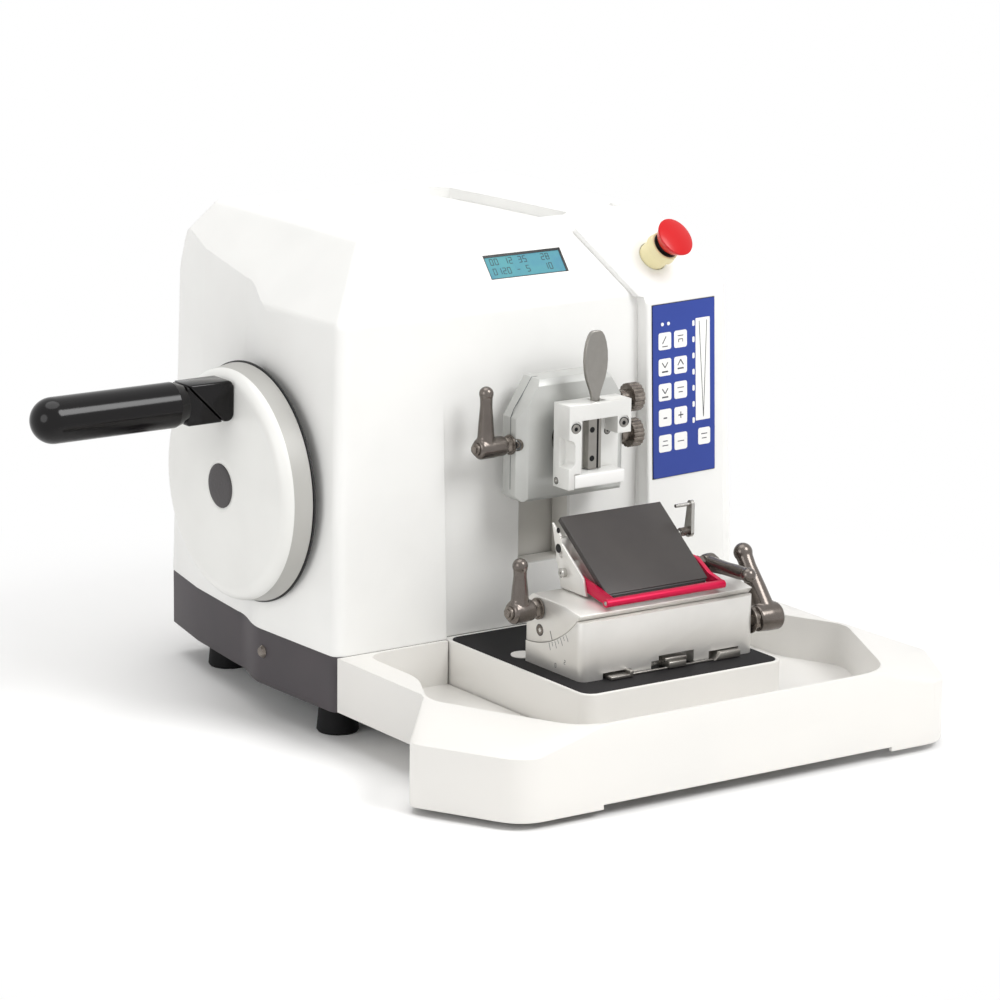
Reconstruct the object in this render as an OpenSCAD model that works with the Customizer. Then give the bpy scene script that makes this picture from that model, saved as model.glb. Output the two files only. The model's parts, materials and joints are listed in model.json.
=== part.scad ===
// Rotary microtome: manual handwheel drive, motor feed, disposable blade holder, removable waste tray.
// Millimetres. X runs to the operator's right, Y to the rear, Z up. The cutting axis stands at x = cut_x.

/* [Housing] */
// Half width of the lower body, handwheel side
body_left = 165; // [160:1:170]
// How much the handwheel side flares out from the front corner to the step
side_flare = 3; // [2:0.5:4]
// Half width of the lower body, keypad side
body_right = 159; // [155:1:165]
// Depth of the hood behind the knee of its front
body_depth = 243; // [238:1:250]
// Height of the top
hood_h = 320; // [316:1:326]
// Height where the front starts to slope
knee_h = 273; // [270:1:277]
// Height of the seam between hood and skirt
seam_h = 59; // [57:1:61]
// Height of the skirt's lower edge, and of the feet
foot_h = 21.5; // [20:0.5:23]
// Forward draft of the front wall
front_draft = 8; // [7:0.5:9]
// Draft of the side walls
side_draft = 7; // [5:0.5:8]
// Half width of the top
top_half = 118; // [114:1:122]
// Set-back of the top behind the knee
top_front = 38; // [36:1:41]
// Slope run at the rear
rear_run = 22; // [18:1:26]
// Outer edge rounding
edge_r = 8; // [7:0.5:10]
// Wall of the hood and skirt
wall = 3; // [2.5:0.25:3.5]
// Step of the wall behind the handwheel
side_step = 10.5; // [9:0.5:12]
// Taper of the wall behind that step, to the bend
side_taper = 8; // [6:1:10]
// Taper from the bend to the rear corner
rear_taper = 11; // [8:1:13]
// Depth of the storage recess in the top
recess_depth = 7; // [5:1:9]

/* [Console] */
// Left edge of the raised console
console_x = 76; // [74:1:80]
// How far the console stands forward of the knee
console_proud = 10.5; // [9:0.5:12]
// Keypad width
keypad_w = 55; // [50:1:58]
// Keypad height
keypad_h = 117; // [110:1:120]
// Display window width
lcd_w = 59.5; // [55:0.5:62]
// Display window height
lcd_h = 16; // [14:0.5:18]
// Emergency stop head diameter
estop_d = 26; // [24:0.5:28]
// Emergency stop collar radius
collar_r = 11.5; // [10:0.5:13]

/* [Handwheel] */
// Outer radius of the handwheel
wheel_r = 78.6; // [74:0.2:82]
// Height of the crankshaft
shaft_h = 156.5; // [153:0.5:158]
// Depth position of the crankshaft
shaft_y = 90.5; // [89:0.5:95]
// Shaft diameter
shaft_d = 20; // [18:0.5:22]
// Thickness of the wheel from back rim to face
wheel_t = 20.5; // [19:0.5:22]
// Crank radius of the grip
grip_arm = 60; // [56:0.5:62]
// Grip diameter
grip_d = 30; // [27:0.5:31]
// Grip length
grip_len = 109; // [104:1:116]
// Size of the folding lug
lug = 28; // [26:0.5:30]

/* [Mechanism] */
// Vertical stroke of the carriage
stroke = 64; // [58:1:66]
// Horizontal feed of the specimen
feed = 28; // [24:1:30]
// Diameter of the feed ram
ram_d = 34; // [30:0.5:36]
// Height of the feed axis at the top of the stroke
ram_h = 190; // [189:0.5:192]
// Cutting axis
cut_x = 2; // [1:0.5:3]
// Running clearance of a pin or shaft, radial
run_gap = 0.05; // [0.03:0.01:0.09]
// Sliding clearance
slide_gap = 0.3; // [0.2:0.05:0.4]

/* [Specimen head] */
// Width of the head
head_w = 85; // [81:1:87]
// Lower face of the head
head_z = 151; // [149:0.5:153]
// Height of the head
head_h = 80; // [78:1:82]
// Front face of the head
head_front = 34.5; // [34:0.25:35]
// Rear face of the head
head_back = 14; // [12:0.5:16]
// Width of the vise
vise_w = 49; // [47:0.5:51]
// Height of the vise
vise_h = 55.5; // [54:0.5:57]
// Depth of the vise
vise_d = 21.5; // [20.5:0.5:22]
// Height of the vise's lower edge
vise_z = 163; // [162:0.5:164]
// Knob diameter
knob_d = 19; // [17:0.5:20]
// Paddle lever width
paddle_w = 18; // [16:0.5:20]

/* [Blade holder] */
// Height of the blade edge
edge_z = 151; // [150:0.5:152]
// Distance of the blade edge in front of the origin line
edge_y = 76; // [75:0.5:77]
// Radius of the circular seat
seat_r = 78; // [77:0.25:79]
// Holder width
holder_w = 137; // [133:1:139]
// Front face of the holder
holder_front = 139; // [137:0.5:141]
// Rear face of the holder
holder_back = 77; // [76.5:0.5:79]
// Top of the holder base
holder_top = 97.5; // [95:0.5:99]
// Pressure plate width
plate_w = 80; // [78:0.5:82]
// Pressure plate thickness
plate_t = 4; // [3:0.25:4.5]

/* [Tray and platform] */
// Half width of the platform
plat_half = 79; // [77:0.5:80]
// Front of the platform
plat_front = 164.6; // [162:0.5:166]
// Height of the platform and of the tray rim
rim_h = 59; // [58:0.5:60]
// Half width across the tray's flared shelves
tray_half = 202; // [198:1:206]
// Front of the tray
tray_front = 222.3; // [219:0.5:226]
// Tray wall
tray_wall = 3; // [2.5:0.25:3.5]
// Height of the tray floor
tray_floor = 27; // [25:0.5:29]

/* [Hidden] */
$fn = 48;

tiny = 1;                                   // overshoot of a cut beyond a face
wheel_x = -body_left - 4.5;                 // back rim of the handwheel
lug_x = wheel_x - 41.5;                     // centre of the folding lug
grip_end = lug_x - lug / 2 - grip_len;      // outermost point of the grip
origin = [-(grip_end + tray_half) / 2, (tray_front - body_depth) / 2, 0];
slope = atan((hood_h - knee_h) / top_front);
base_t = 12;
base_top = foot_h + base_t;
step_y0 = 80;
step_y1 = 126;
bend_y = 192;
draft_a = atan(side_draft / (knee_h - seam_h));
front_plane = -2;                           // flat field behind the specimen head
slot_x0 = cut_x - 21;
slot_x1 = cut_x + 20;
slot_z0 = 99.5;
slot_z1 = knee_h - 62;
field_x0 = -79;
lcd_x = cut_x - 3;
lcd_y = 19.2;
lcd_mid_z = knee_h + lcd_y * tan(slope);
stop_x = 98;
stop_up = 23;                               // up the slope from the knee
stop_out = 12.2;                            // out from the slope
stop_turn = 9;
console_turn = 5;
console_w = 65;
console_x1 = 144;
inlet_x = 84;
inlet_z = 86;
rocker_x = 111.5;
head_x0 = cut_x - head_w / 2;
head_x1 = cut_x + head_w / 2;
head_z1 = head_z + head_h;
pivot_y = -20;
pivot_z = 191;
vise_x0 = cut_x - vise_w / 2;
vise_x1 = cut_x + vise_w / 2;
vise_back = -41.5;
vise_front = vise_back - vise_d;
vise_z1 = vise_z + vise_h;
holder_x0 = cut_x + 2 - holder_w / 2;
holder_x1 = holder_x0 + holder_w;
plate_x0 = cut_x - plate_w / 2;
plate_x1 = plate_x0 + plate_w;
col_x0 = cut_x + 38;
crank_r = stroke / 2;
car_x0 = cut_x - 26;
car_x1 = cut_x + 26;
yoke_x0 = car_x0 - 8;
face_x = wheel_x - wheel_t;
lever_y = vise_front + 8;                   // axis of the paddle
lever_z = vise_z1 - 5;
tray_back = -front_draft - slide_gap;
tray_arm = 148;                             // outer half width across the tray's arms
guard_y = -88;                              // axis of the finger guard
guard_z = 117;
clamp_y = -104;                             // axis of the blade clamp
clamp_z = 112.8;
release_y = -88.5;                          // axis of the blade release
release_z = 131.5;

module box(a, b) {
  translate(a) cube(b - a);
}

module xrod(r, x0, x1, y, z) {
  translate([x0, y, z]) rotate([0, 90, 0]) cylinder(r = r, h = x1 - x0);
}

module yrod(r, y0, y1, x, z) {
  translate([x, y1, z]) rotate([90, 0, 0]) cylinder(r = r, h = y1 - y0);
}

// A (y, z) outline drawn out along X
module along_x(x0, x1) {
  translate([x0, 0, 0]) rotate([90, 0, 90]) linear_extrude(x1 - x0) children();
}

// An (x, z) outline drawn out along Y
module along_y(y0, y1) {
  translate([0, y1, 0]) rotate([90, 0, 0]) linear_extrude(y1 - y0) children();
}

// Rectangle from corner a to corner b with round corners
module rrect(a, b, r) {
  union() {
    translate([a[0] + r, a[1]]) square([b[0] - a[0] - 2 * r, b[1] - a[1]]);
    translate([a[0], a[1] + r]) square([b[0] - a[0], b[1] - a[1] - 2 * r]);
    for (x = [a[0] + r, b[0] - r]) for (y = [a[1] + r, b[1] - r]) translate([x, y]) circle(r = r);
  }
}

module in_frame() {
  translate(origin) children();
}

// ---------- housing ----------

function arc(c, r, a0, a1) = [for (i = [0:6]) let (a = a0 + (a1 - a0) * i / 6) [c[0] + r * cos(a), c[1] + r * sin(a)]];

// Wall of the handwheel side, seen from above at the seam, from the flare rearwards
function side_pts(g) = concat(
  [for (i = [0:12]) let (t = i / 12) [-body_left - side_flare + g + side_step * (1 - cos(180 * t)) / 2,
    step_y0 - 0.4 * g + (step_y1 - step_y0) * t]],
  [[-body_left - side_flare + g + side_step + side_taper, bend_y],
   [-body_left - side_flare + g + side_step + side_taper + rear_taper, body_depth - g]]
);

module step_plan(g) {
  polygon(concat([[-body_left - 40, step_y0 - 0.4 * g]], side_pts(g),
    [[-body_left - side_flare + g + side_step + side_taper + rear_taper, body_depth + 10],
     [-body_left - 40, body_depth + 10]]));
}

module body_plan(g) {
  e = edge_r;
  r = edge_r - g;
  polygon(concat(
    arc([-body_left + e, -front_draft + e], r, 270, 180),
    side_pts(g),
    arc([body_right - e, body_depth - e], r, 90, 0),
    arc([body_right - e, -front_draft + e], r, 0, -90)
  ));
}

module hood_form(g) {
  r = edge_r - g;
  e = edge_r;
  knee_c = knee_h - 0.355 * e;
  difference() {
    hull() {
      for (p = [[-body_left, -front_draft + e], [-body_left - side_flare, step_y0], [-body_left, body_depth - e]])
        translate([p[0] + e, p[1], seam_h - (g > 0 ? tiny : 0)]) cylinder(r = r, h = 1, $fn = 32);
      for (y = [-front_draft + e, body_depth - e])
        translate([body_right - e, y, seam_h - (g > 0 ? tiny : 0)]) cylinder(r = r, h = 1, $fn = 32);
      for (p = [[-body_left, e], [-body_left - side_flare, step_y0], [-body_left, body_depth - e]])
        translate([p[0] + side_draft + e, p[1], knee_c]) sphere(r = r, $fn = 32);
      for (y = [e, body_depth - e]) translate([body_right - side_draft - e, y, knee_c]) sphere(r = r, $fn = 32);
      for (x = [-top_half + 0.47 * e, top_half - 0.47 * e])
        for (y = [top_front + 0.48 * e, body_depth - rear_run - 0.64 * e])
          translate([x, y, hood_h - e]) sphere(r = r, $fn = 32);
    }
    translate([0, 0, seam_h]) drafted() translate([0, 0, -30]) linear_extrude(hood_h) step_plan(g);
  }
}

module drafted() {
  translate([-body_left, 0, 0]) rotate([0, draft_a, 0]) translate([body_left, 0, 0]) children();
}

module top_recess(g) {
  translate([0, 0, hood_h - recess_depth - g]) linear_extrude(recess_depth + g + tiny)
    offset(delta = g) polygon([[-111, 50], [-106, 182], [-101, 187], [34, 187], [44, 176], [51, 122], [57, 56], [51, 50]]);
}

// A point given by its x, its way up the front slope from the knee and its height above the slope
function slope_at(x, up, out) = [x, up * cos(slope) - out * sin(slope), knee_h + up * sin(slope) + out * cos(slope)];

module on_slope() {
  translate([lcd_x, lcd_y, lcd_mid_z]) rotate([slope, 0, 0]) children();
}

module on_stop() {
  translate(slope_at(stop_x, stop_up, stop_out)) rotate([slope, 0, 0]) rotate([0, stop_turn, 0]) children();
}

module hood_cavity() {
  difference() {
    hood_form(wall);
    top_recess(wall);
    box([field_x0 - wall, -30, 0], [console_x + wall, front_plane + wall, hood_h]);
  }
}

module hood() in_frame() color("whitesmoke") difference() {
  hood_form(0);
  hood_cavity();
  top_recess(0);
  box([field_x0, -30, seam_h - tiny], [console_x, front_plane, knee_h - 10]);
  box([slot_x0, -30, slot_z0], [slot_x1, 20, slot_z1]);
  on_slope() translate([0, 0, -10]) linear_extrude(20) square([lcd_w + 2, lcd_h + 2], center = true);
  xrod(shaft_d / 2 + 4, -body_left - 10, -body_left + 20, shaft_y, shaft_h);
  on_stop() translate([0, 0, -40]) cylinder(r = collar_r - 1.2, h = 60);
  box([inlet_x - 14, body_depth - 20, inlet_z - 11], [inlet_x + 14, body_depth + 5, inlet_z + 11]);
  box([rocker_x - 7.5, body_depth - 20, inlet_z - 11], [rocker_x + 7.5, body_depth + 5, inlet_z + 11]);
  translate([102, 62, hood_h - 8]) cylinder(r = 2, h = 20);
}

module body_skirt() in_frame() color("dimgray") difference() {
  translate([0, 0, foot_h]) linear_extrude(seam_h - foot_h) body_plan(0);
  translate([0, 0, foot_h - tiny]) linear_extrude(seam_h - foot_h + 2 * tiny) body_plan(wall);
  box([-plat_half - slide_gap, -front_draft - 5, foot_h - tiny], [plat_half + slide_gap, wall, seam_h + tiny]);
}

module base_plate() in_frame() color("gray") translate([0, 0, foot_h]) linear_extrude(base_t) union() {
  body_plan(wall + 0.2);
  translate([-plat_half + 9, -plat_front + 8]) square([2 * plat_half - 18, plat_front + 10]);
}

module rubber_feet() in_frame() color("black") {
  for (p = [[-143.6, 23], [-122.4, 196], [140, 23], [140, 212]]) translate([p[0], p[1], 0])
    rotate_extrude() polygon([[0, 0], [13, 0], [14, 1.5], [12, foot_h], [0, foot_h]]);
}

module skirt_screws() in_frame() color("silver") {
  for (s = [[-body_left - side_flare, -1], [body_right, 1]])
    translate([s[0], step_y0 - 3, seam_h - 15]) rotate([0, 90 * s[1], 0]) cylinder(r1 = 4.5, r2 = 3, h = 2);
}

module hood_screw() in_frame() color("silver") translate([102, 62, hood_h - 7]) {
  union() {
    cylinder(r = 1.9, h = 7);
    translate([0, 0, 7]) cylinder(r = 3.5, h = 1.5);
  }
}

// Frame of the console's face: x along it, y = -2 on it. It leans back as the front of the hood does.
module console_face() {
  translate([console_x + 2, -console_proud + 2, knee_h - 7]) rotate([0, 0, console_turn])
    rotate([-atan(front_draft / (knee_h - seam_h)), 0, 0]) children();
}

module console() in_frame() color("white") difference() {
  union() {
    hull() {
      for (x = [0, console_w]) for (z = [68 - knee_h, 0]) console_face() translate([x, 0, z]) sphere(r = 2, $fn = 16);
      for (x = [console_x + 1, console_x1]) for (z = [seam_h + 2, knee_h - 10]) translate([x, 4, z]) sphere(r = 1, $fn = 12);
    }
    hull() {
      for (x = [0, console_w]) console_face() translate([x, 0, 0]) sphere(r = 2, $fn = 16);
      for (p = [[console_x + 1, 6, knee_h - 10], [console_x1, 6, knee_h - 10], slope_at(46, 50, 3.3),
                slope_at(112, 58, 4), slope_at(47, 48, -7), slope_at(112, 56, -7)])
        translate(p) sphere(r = 1, $fn = 12);
    }
  }
  hood_form(0);
  box([0, -30, 0], [console_x, 3, knee_h - 2]);
  on_stop() translate([0, 0, -60]) cylinder(r = collar_r - 1.2, h = 90);
}

module display() in_frame() color("cadetblue") on_slope() translate([0, 0, -3.5]) linear_extrude(3)
  square([lcd_w + 1.8, lcd_h + 1.8], center = true);

module keypad() in_frame() color("royalblue") console_face() translate([2.6, -2.02, -118.2])
  rotate([90, 0, 0]) linear_extrude(0.8) rrect([0, 0], [keypad_w, keypad_h], 1.5);

module estop_collar() in_frame() color("khaki") on_stop() difference() {
  union() {
    cylinder(r1 = collar_r, r2 = collar_r - 1, h = 6);
    translate([0, 0, -14]) cylinder(r = collar_r - 1.5, h = 14.5);
  }
  translate([0, 0, -20]) cylinder(r = 7 + slide_gap, h = 40);
}

module estop_button() in_frame() color("red") on_stop() {
  translate([0, 0, -10]) cylinder(r = 7, h = 20);
  translate([0, 0, 9.4]) rotate_extrude() intersection() {
    polygon([[0, 0], [estop_d / 2 - 3.4, 0], [estop_d / 2, 5], [estop_d / 2, 30], [0, 30]]);
    translate([0, -22.5]) circle(r = 32, $fn = 96);
  }
}

module power_inlet() in_frame() color("black") difference() {
  box([inlet_x - 13.5, body_depth - 18, inlet_z - 10.5], [inlet_x + 13.5, body_depth, inlet_z + 10.5]);
  box([inlet_x - 10, body_depth - 14, inlet_z - 7], [inlet_x + 10, body_depth + 1, inlet_z + 7]);
}

module rocker_switch() in_frame() color("black") difference() {
  union() {
    box([rocker_x - 6.3, body_depth - 6, inlet_z - 8.5], [rocker_x + 6.3, body_depth, inlet_z + 8.5]);
    xrod(1.2, rocker_x - 7.3, rocker_x + 7.3, body_depth - 1.6, inlet_z);
  }
  box([rocker_x - 5, body_depth - 1, inlet_z - 6], [rocker_x + 5, body_depth + 1, inlet_z - 1]);
}

module control_board() in_frame() color("green") {
  box([body_right - 79, body_depth - 65, base_top], [body_right - 19, body_depth - 62, base_top + 156]);
  box([body_right - 64, body_depth - 62, base_top + 20], [body_right - 34, body_depth - 43, base_top + 116]);
}

module slot_liner() in_frame() color("lightgray") difference() {
  box([slot_x0 - wall, front_plane + wall + 0.1, slot_z0 - wall], [slot_x1 + wall, 18, slot_z1 + wall]);
  box([slot_x0, -30, slot_z0], [slot_x1, 30, slot_z1]);
}

// ---------- platform ----------

module platform() in_frame() color("white") difference() {
  translate([0, 0, foot_h]) linear_extrude(rim_h - foot_h) difference() {
    rrect([-plat_half, -plat_front], [plat_half, 20], 10);
    translate([-plat_half - tiny, front_plane - 0.2]) square([2 * plat_half + 2 * tiny, 30]);
  }
  translate([0, 0, rim_h - 2]) linear_extrude(5) rrect([-plat_half + 2.5, -plat_front + 2.5], [plat_half - 2.5, -5.5], 8);
  box([-plat_half + 8.8, -plat_front + 7.8, foot_h - tiny], [plat_half - 8.8, 10, base_top]);
  box([-plat_half - tiny, wall - front_draft, foot_h - tiny], [plat_half + tiny, 10, base_top]);
}

module platform_mat() in_frame() color("black") translate([0, 0, rim_h - 2]) linear_extrude(2) difference() {
  rrect([-plat_half + 2.6, -plat_front + 2.6], [plat_half - 2.6, -5.6], 7.9);
  translate([cut_x - 12, -136]) square([24, 58]);
  translate([-58, -65]) circle(r = 8.1);
}

module platform_disc() in_frame() color("white") translate([-58, -65, rim_h - 2]) cylinder(r = 8, h = 2.6);

module dovetail_rail() in_frame() color("gray") {
  box([cut_x - 11.7, -135.7, rim_h - 2], [cut_x + 11.7, -78.3, rim_h + 5.7]);
}

// ---------- drive ----------

module pedestal() in_frame() color("slategray") difference() {
  union() {
    box([-140, shaft_y - 35, base_top], [-56, shaft_y + 35, base_top + 9]);
    for (x = [-138, -80]) union() {
      box([x, shaft_y - 26, base_top + 8], [x + 20, shaft_y + 26, shaft_h]);
      xrod(26, x, x + 20, shaft_y, shaft_h);
    }
  }
  xrod(shaft_d / 2 + 6, -150, -50, shaft_y, shaft_h);
}

module bearings() in_frame() color("silver") {
  for (x = [-137, -79]) difference() {
    xrod(shaft_d / 2 + 6, x, x + 18, shaft_y, shaft_h);
    xrod(shaft_d / 2 + run_gap, x - 1, x + 19, shaft_y, shaft_h);
  }
}

module guide_column() in_frame() color("slategray") {
  box([col_x0, 36, base_top + 9], [col_x0 + 20, 100, 262]);
  box([col_x0 - 4, 30, base_top], [col_x0 + 52, 106, base_top + 9]);
}

module guide_rails() in_frame() color("silver") {
  for (y = [50, 86]) box([col_x0 - 6, y - 6, 52], [col_x0, y + 6, 258]);
}

module handwheel() in_frame() color("gainsboro") difference() {
  translate([0, shaft_y, shaft_h]) rotate([0, 90, 0]) rotate_extrude($fn = 96) difference() {
    union() {
      polygon([[0, wheel_x], [wheel_r, wheel_x], [wheel_r - 1.8, face_x + 9.5], [0, face_x + 9.5]]);
      translate([wheel_r - 11.3, face_x + 9.5]) circle(r = 9.5);
      polygon([[0, face_x + 9.5], [wheel_r - 11.3, face_x + 9.5], [wheel_r - 11.3, face_x], [34, face_x],
               [18, face_x - 2], [0, face_x - 2]]);
    }
    polygon([[24, wheel_x + 6], [wheel_r - 4, wheel_x + 6], [wheel_r - 5.8, face_x + 9.5], [24, face_x + 9.5]]);
    translate([wheel_r - 11.3, face_x + 9.5]) circle(r = 5.5);
    polygon([[24, face_x + 10], [wheel_r - 11.3, face_x + 10], [wheel_r - 11.3, face_x + 4], [24, face_x + 4]]);
  }
  xrod(shaft_d / 2, face_x - 20, wheel_x + 60, shaft_y, shaft_h);
}

module wheel_ring() in_frame() color("black") difference() {
  xrod(wheel_r - 1, wheel_x, wheel_x + 1.2, shaft_y, shaft_h);
  xrod(wheel_r - 16, wheel_x - 4, wheel_x + 4, shaft_y, shaft_h);
}

module hub_cap() in_frame() color("dimgray") xrod(14.7, face_x - 3, face_x - 2, shaft_y, shaft_h);

module crankshaft() in_frame() color("silver") xrod(shaft_d / 2, face_x - 2, -52, shaft_y, shaft_h);

module crank_disc() in_frame() color("gray") {
  union() {
    intersection() {
      xrod(crank_r + 8, -52, -44, shaft_y, shaft_h);
      union() {
        box([-60, shaft_y - 60, shaft_h - 60], [-40, shaft_y + 60, shaft_h + 4]);
        box([-60, shaft_y - 16, shaft_h], [-40, shaft_y + 16, shaft_h + 60]);
      }
    }
    xrod(5, -44, yoke_x0 - 0.6, shaft_y, shaft_h + crank_r);
  }
}

module lug_half(s) {
  intersection() {
    along_y(shaft_y - 7.5 - lug / 2, shaft_y - 7.5 + lug / 2) rrect([lug_x - lug / 2, shaft_h + grip_arm - lug / 2],
      [lug_x + lug / 2, shaft_h + grip_arm + lug / 2], 7);
    translate([lug_x, 0, shaft_h + grip_arm]) rotate([0, s, 0])
      translate([-lug, 0, 0.2]) cube([2 * lug, 2 * shaft_y, 2 * lug]);
  }
}

module handle_lug() in_frame() color("black") union() {
  lug_half(45);
  box([lug_x + lug / 2 - 3, shaft_y - 17.5, shaft_h + grip_arm - 10], [face_x, shaft_y + 2.5, shaft_h + grip_arm + 10]);
}

module handle_knuckle() in_frame() color("black") {
  union() {
    lug_half(225);
    xrod(4, grip_end + 10, lug_x - lug / 2 + 4, shaft_y - 7.5, shaft_h + grip_arm);
  }
}

module grip() in_frame() color("black") translate([0, shaft_y - 7.5, shaft_h + grip_arm]) rotate([0, 90, 0])
  rotate_extrude() difference() {
    union() {
      polygon([[0, grip_end + grip_d / 2], [grip_d / 2, grip_end + grip_d / 2], [grip_d / 2, lug_x - lug / 2 - 8],
               [grip_d / 2 - 2.5, lug_x - lug / 2 - 0.3], [0, lug_x - lug / 2 - 0.3]]);
      intersection() {
        translate([0, grip_end + grip_d / 2]) circle(r = grip_d / 2);
        translate([0, grip_end - 5]) square([grip_d, grip_d]);
      }
    }
    translate([-1, grip_end + 9]) square([5 + run_gap, grip_len]);
  }

// ---------- carriage and feed ----------

module carriage() in_frame() color("gray") difference() {
  union() {
    box([car_x0, 24, ram_h - 40], [car_x1, 104, ram_h + 40]);
    box([car_x1 - 1, 34, ram_h - 40], [col_x0 - 2, 102, ram_h + 40]);
    box([yoke_x0, shaft_y - crank_r - 12, ram_h - 18], [car_x0 + 1, shaft_y + crank_r + 12, ram_h + 13]);
  }
  yrod(ram_d / 2 + run_gap, 0, 90, cut_x, ram_h);
  yrod(9, 80, 120, cut_x, ram_h);
  for (y = [50, 86]) box([col_x0 - 6 - slide_gap, y - 6 - slide_gap, 100], [col_x0 + 5, y + 6 + slide_gap, 260]);
  along_x(yoke_x0 - 5, car_x0) rrect([shaft_y - crank_r - 7, shaft_h + crank_r - 6], [shaft_y + crank_r + 7, shaft_h + crank_r + 6], 5.9);
}

module slot_shield() in_frame() color("lightgray") difference() {
  box([slot_x0 - 4, 20, slot_z0 - 0.5], [slot_x1 + 4, 24, slot_z1 + stroke + 1]);
  yrod(ram_d / 2 + slide_gap, 0, 40, cut_x, ram_h);
}

module feed_motor() in_frame() color("black") difference() {
  box([cut_x - 21, 104, ram_h - 21], [cut_x + 21, 136, ram_h + 21]);
  yrod(4.5, 100, 140, cut_x, ram_h);
}

module feed_ram() in_frame() color("silver") difference() {
  union() {
    yrod(ram_d / 2 + 7, -head_back, -head_back + 6, cut_x, ram_h);
    yrod(ram_d / 2, -head_back, 60, cut_x, ram_h);
    yrod(4, 59, 150, cut_x, ram_h);
  }
  // room for the ball and its ring
  yrod(16.6, -head_back - tiny, -head_back + 4.5, cut_x, pivot_z);
}

module head_outline() {
  polygon([[head_x0, head_z + 3], [head_x0 + 3, head_z], [head_x1 - 3, head_z], [head_x1, head_z + 3],
           [head_x1, head_z1 - 25], [head_x1 - 10, head_z1 - 9], [head_x1 - 16, head_z1],
           [head_x0 + 16, head_z1], [head_x0 + 10, head_z1 - 9], [head_x0, head_z1 - 25]]);
}

module specimen_head() in_frame() color("lightgray") difference() {
  intersection() {
    along_y(-head_front, -head_back) head_outline();
    along_x(head_x0, head_x1) polygon([[-head_back, head_z], [-head_back, head_z1], [-head_front + 3, head_z1],
      [-head_front, head_z1 - 4], [-head_front, head_z + 2], [-head_front + 2, head_z]]);
    translate([0, 0, head_z]) linear_extrude(head_h) polygon([[head_x0, -head_back], [head_x0, -head_front + 6],
      [head_x0 + 6, -head_front], [head_x1 - 6, -head_front], [head_x1, -head_front + 6], [head_x1, -head_back]]);
  }
  yrod(18, -head_front - 5, -head_back, cut_x, pivot_z);
  xrod(2.5 + run_gap, cut_x - 21, cut_x + 21, pivot_y, pivot_z);
  xrod(3 + run_gap, head_x0 - 5, head_x0 + 12, -head_back - 9, pivot_z - 3);
  xrod(2.2, head_x0 - 5, head_x0 + 8, -head_front + 5.5, pivot_z - 2.5);
  for (z = [pivot_z - 6, pivot_z + 18]) xrod(3 + run_gap, head_x1 - 12, head_x1 + 5, -24.2, z);
}

// Clamp lever: hub along X from x0 outwards, arm of length a leaning by t degrees, pin going the other way
module clamp_lever(hub_r, hub_l, arm, out, pin_r, pin_l, lean) {
  union() {
    xrod(hub_r, out > 0 ? 0 : -hub_l, out > 0 ? hub_l : 0, 0, 0);
    xrod(hub_r * 0.62, out > 0 ? hub_l - 1 : -hub_l - 3, out > 0 ? hub_l + 3 : -hub_l + 1, 0, 0);
    xrod(pin_r, out > 0 ? -pin_l : -1, out > 0 ? 1 : pin_l, 0, 0);
    rotate([lean, 0, 0]) translate([out * (hub_l - hub_r), 0, 0]) {
      cylinder(r1 = hub_r * 0.82, r2 = hub_r * 0.74, h = arm);
      translate([0, 0, arm]) sphere(r = hub_r * 0.745);
    }
  }
}

module head_lever() in_frame() color("dimgray") translate([head_x0 - 0.2, -head_back - 9, pivot_z - 3])
  clamp_lever(7, 26.5, 36, -1, 3, 10, 0);

module swivel_ring() in_frame() color("gray") difference() {
  union() {
    yrod(15.5, pivot_y - 5, pivot_y + 5, cut_x, pivot_z);
    xrod(2.5, cut_x - 20.5, cut_x + 20.5, pivot_y, pivot_z);
  }
  yrod(11, pivot_y - 8, pivot_y + 8, cut_x, pivot_z);
  translate([cut_x, pivot_y, pivot_z - 17]) cylinder(r = 2 + run_gap, h = 34);
}

module swivel_ball() in_frame() color("silver") union() {
  translate([cut_x, pivot_y, pivot_z]) sphere(r = 8.5);
  yrod(6, vise_back, pivot_y, cut_x, pivot_z);
  translate([cut_x, pivot_y, pivot_z - 15]) cylinder(r = 2, h = 30);
}

module vise_frame() in_frame() color("whitesmoke") difference() {
  union() {
    box([vise_x0, vise_back - 7.5, vise_z], [vise_x1, vise_back, vise_z1]);
    box([vise_x0, vise_front, vise_z], [vise_x0 + 10, vise_back, vise_z1]);
    box([vise_x0, vise_front, vise_z1 - 10.5], [vise_x1, vise_back, vise_z1]);
    box([vise_x1 - 10.7, vise_front, vise_z1 - 22], [vise_x1, vise_back, vise_z1]);
  }
  // room for the tilt behind
  for (s = [-1, 1]) translate([cut_x + s * vise_w / 2, vise_back, vise_z + vise_h / 2]) rotate([0, 0, 45])
    cube([5.6, 5.6, vise_h + 2], center = true);
  for (z = [vise_z, vise_z1]) translate([cut_x, vise_back, z]) rotate([45, 0, 0]) cube([vise_w + 2, 5.6, 5.6], center = true);
  // jaw bed, finger scoop, screw seats, lever slot
  box([vise_x0 + 4.5, vise_front - 2, vise_z - 1], [vise_x0 + 12, vise_back - 7.5, vise_z + 10]);
  along_y(vise_front - 1, vise_front + 11) rrect([vise_x0 - 12, vise_z + 14], [vise_x0 + 5, vise_z + 33], 5);
  for (x = [vise_x0 + 5.5, vise_x1 - 5.5]) {
    yrod(4, vise_front - 1, vise_front + 0.8, x, vise_z1 - 14.6);
    yrod(1.6, vise_front - 1, vise_front + 4, x, vise_z1 - 14.6);
  }
  box([cut_x - 1.5, lever_y - 4, vise_z1 - 10.6], [cut_x + 7.5, lever_y + 6.5, vise_z1 + 1]);
}

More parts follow.
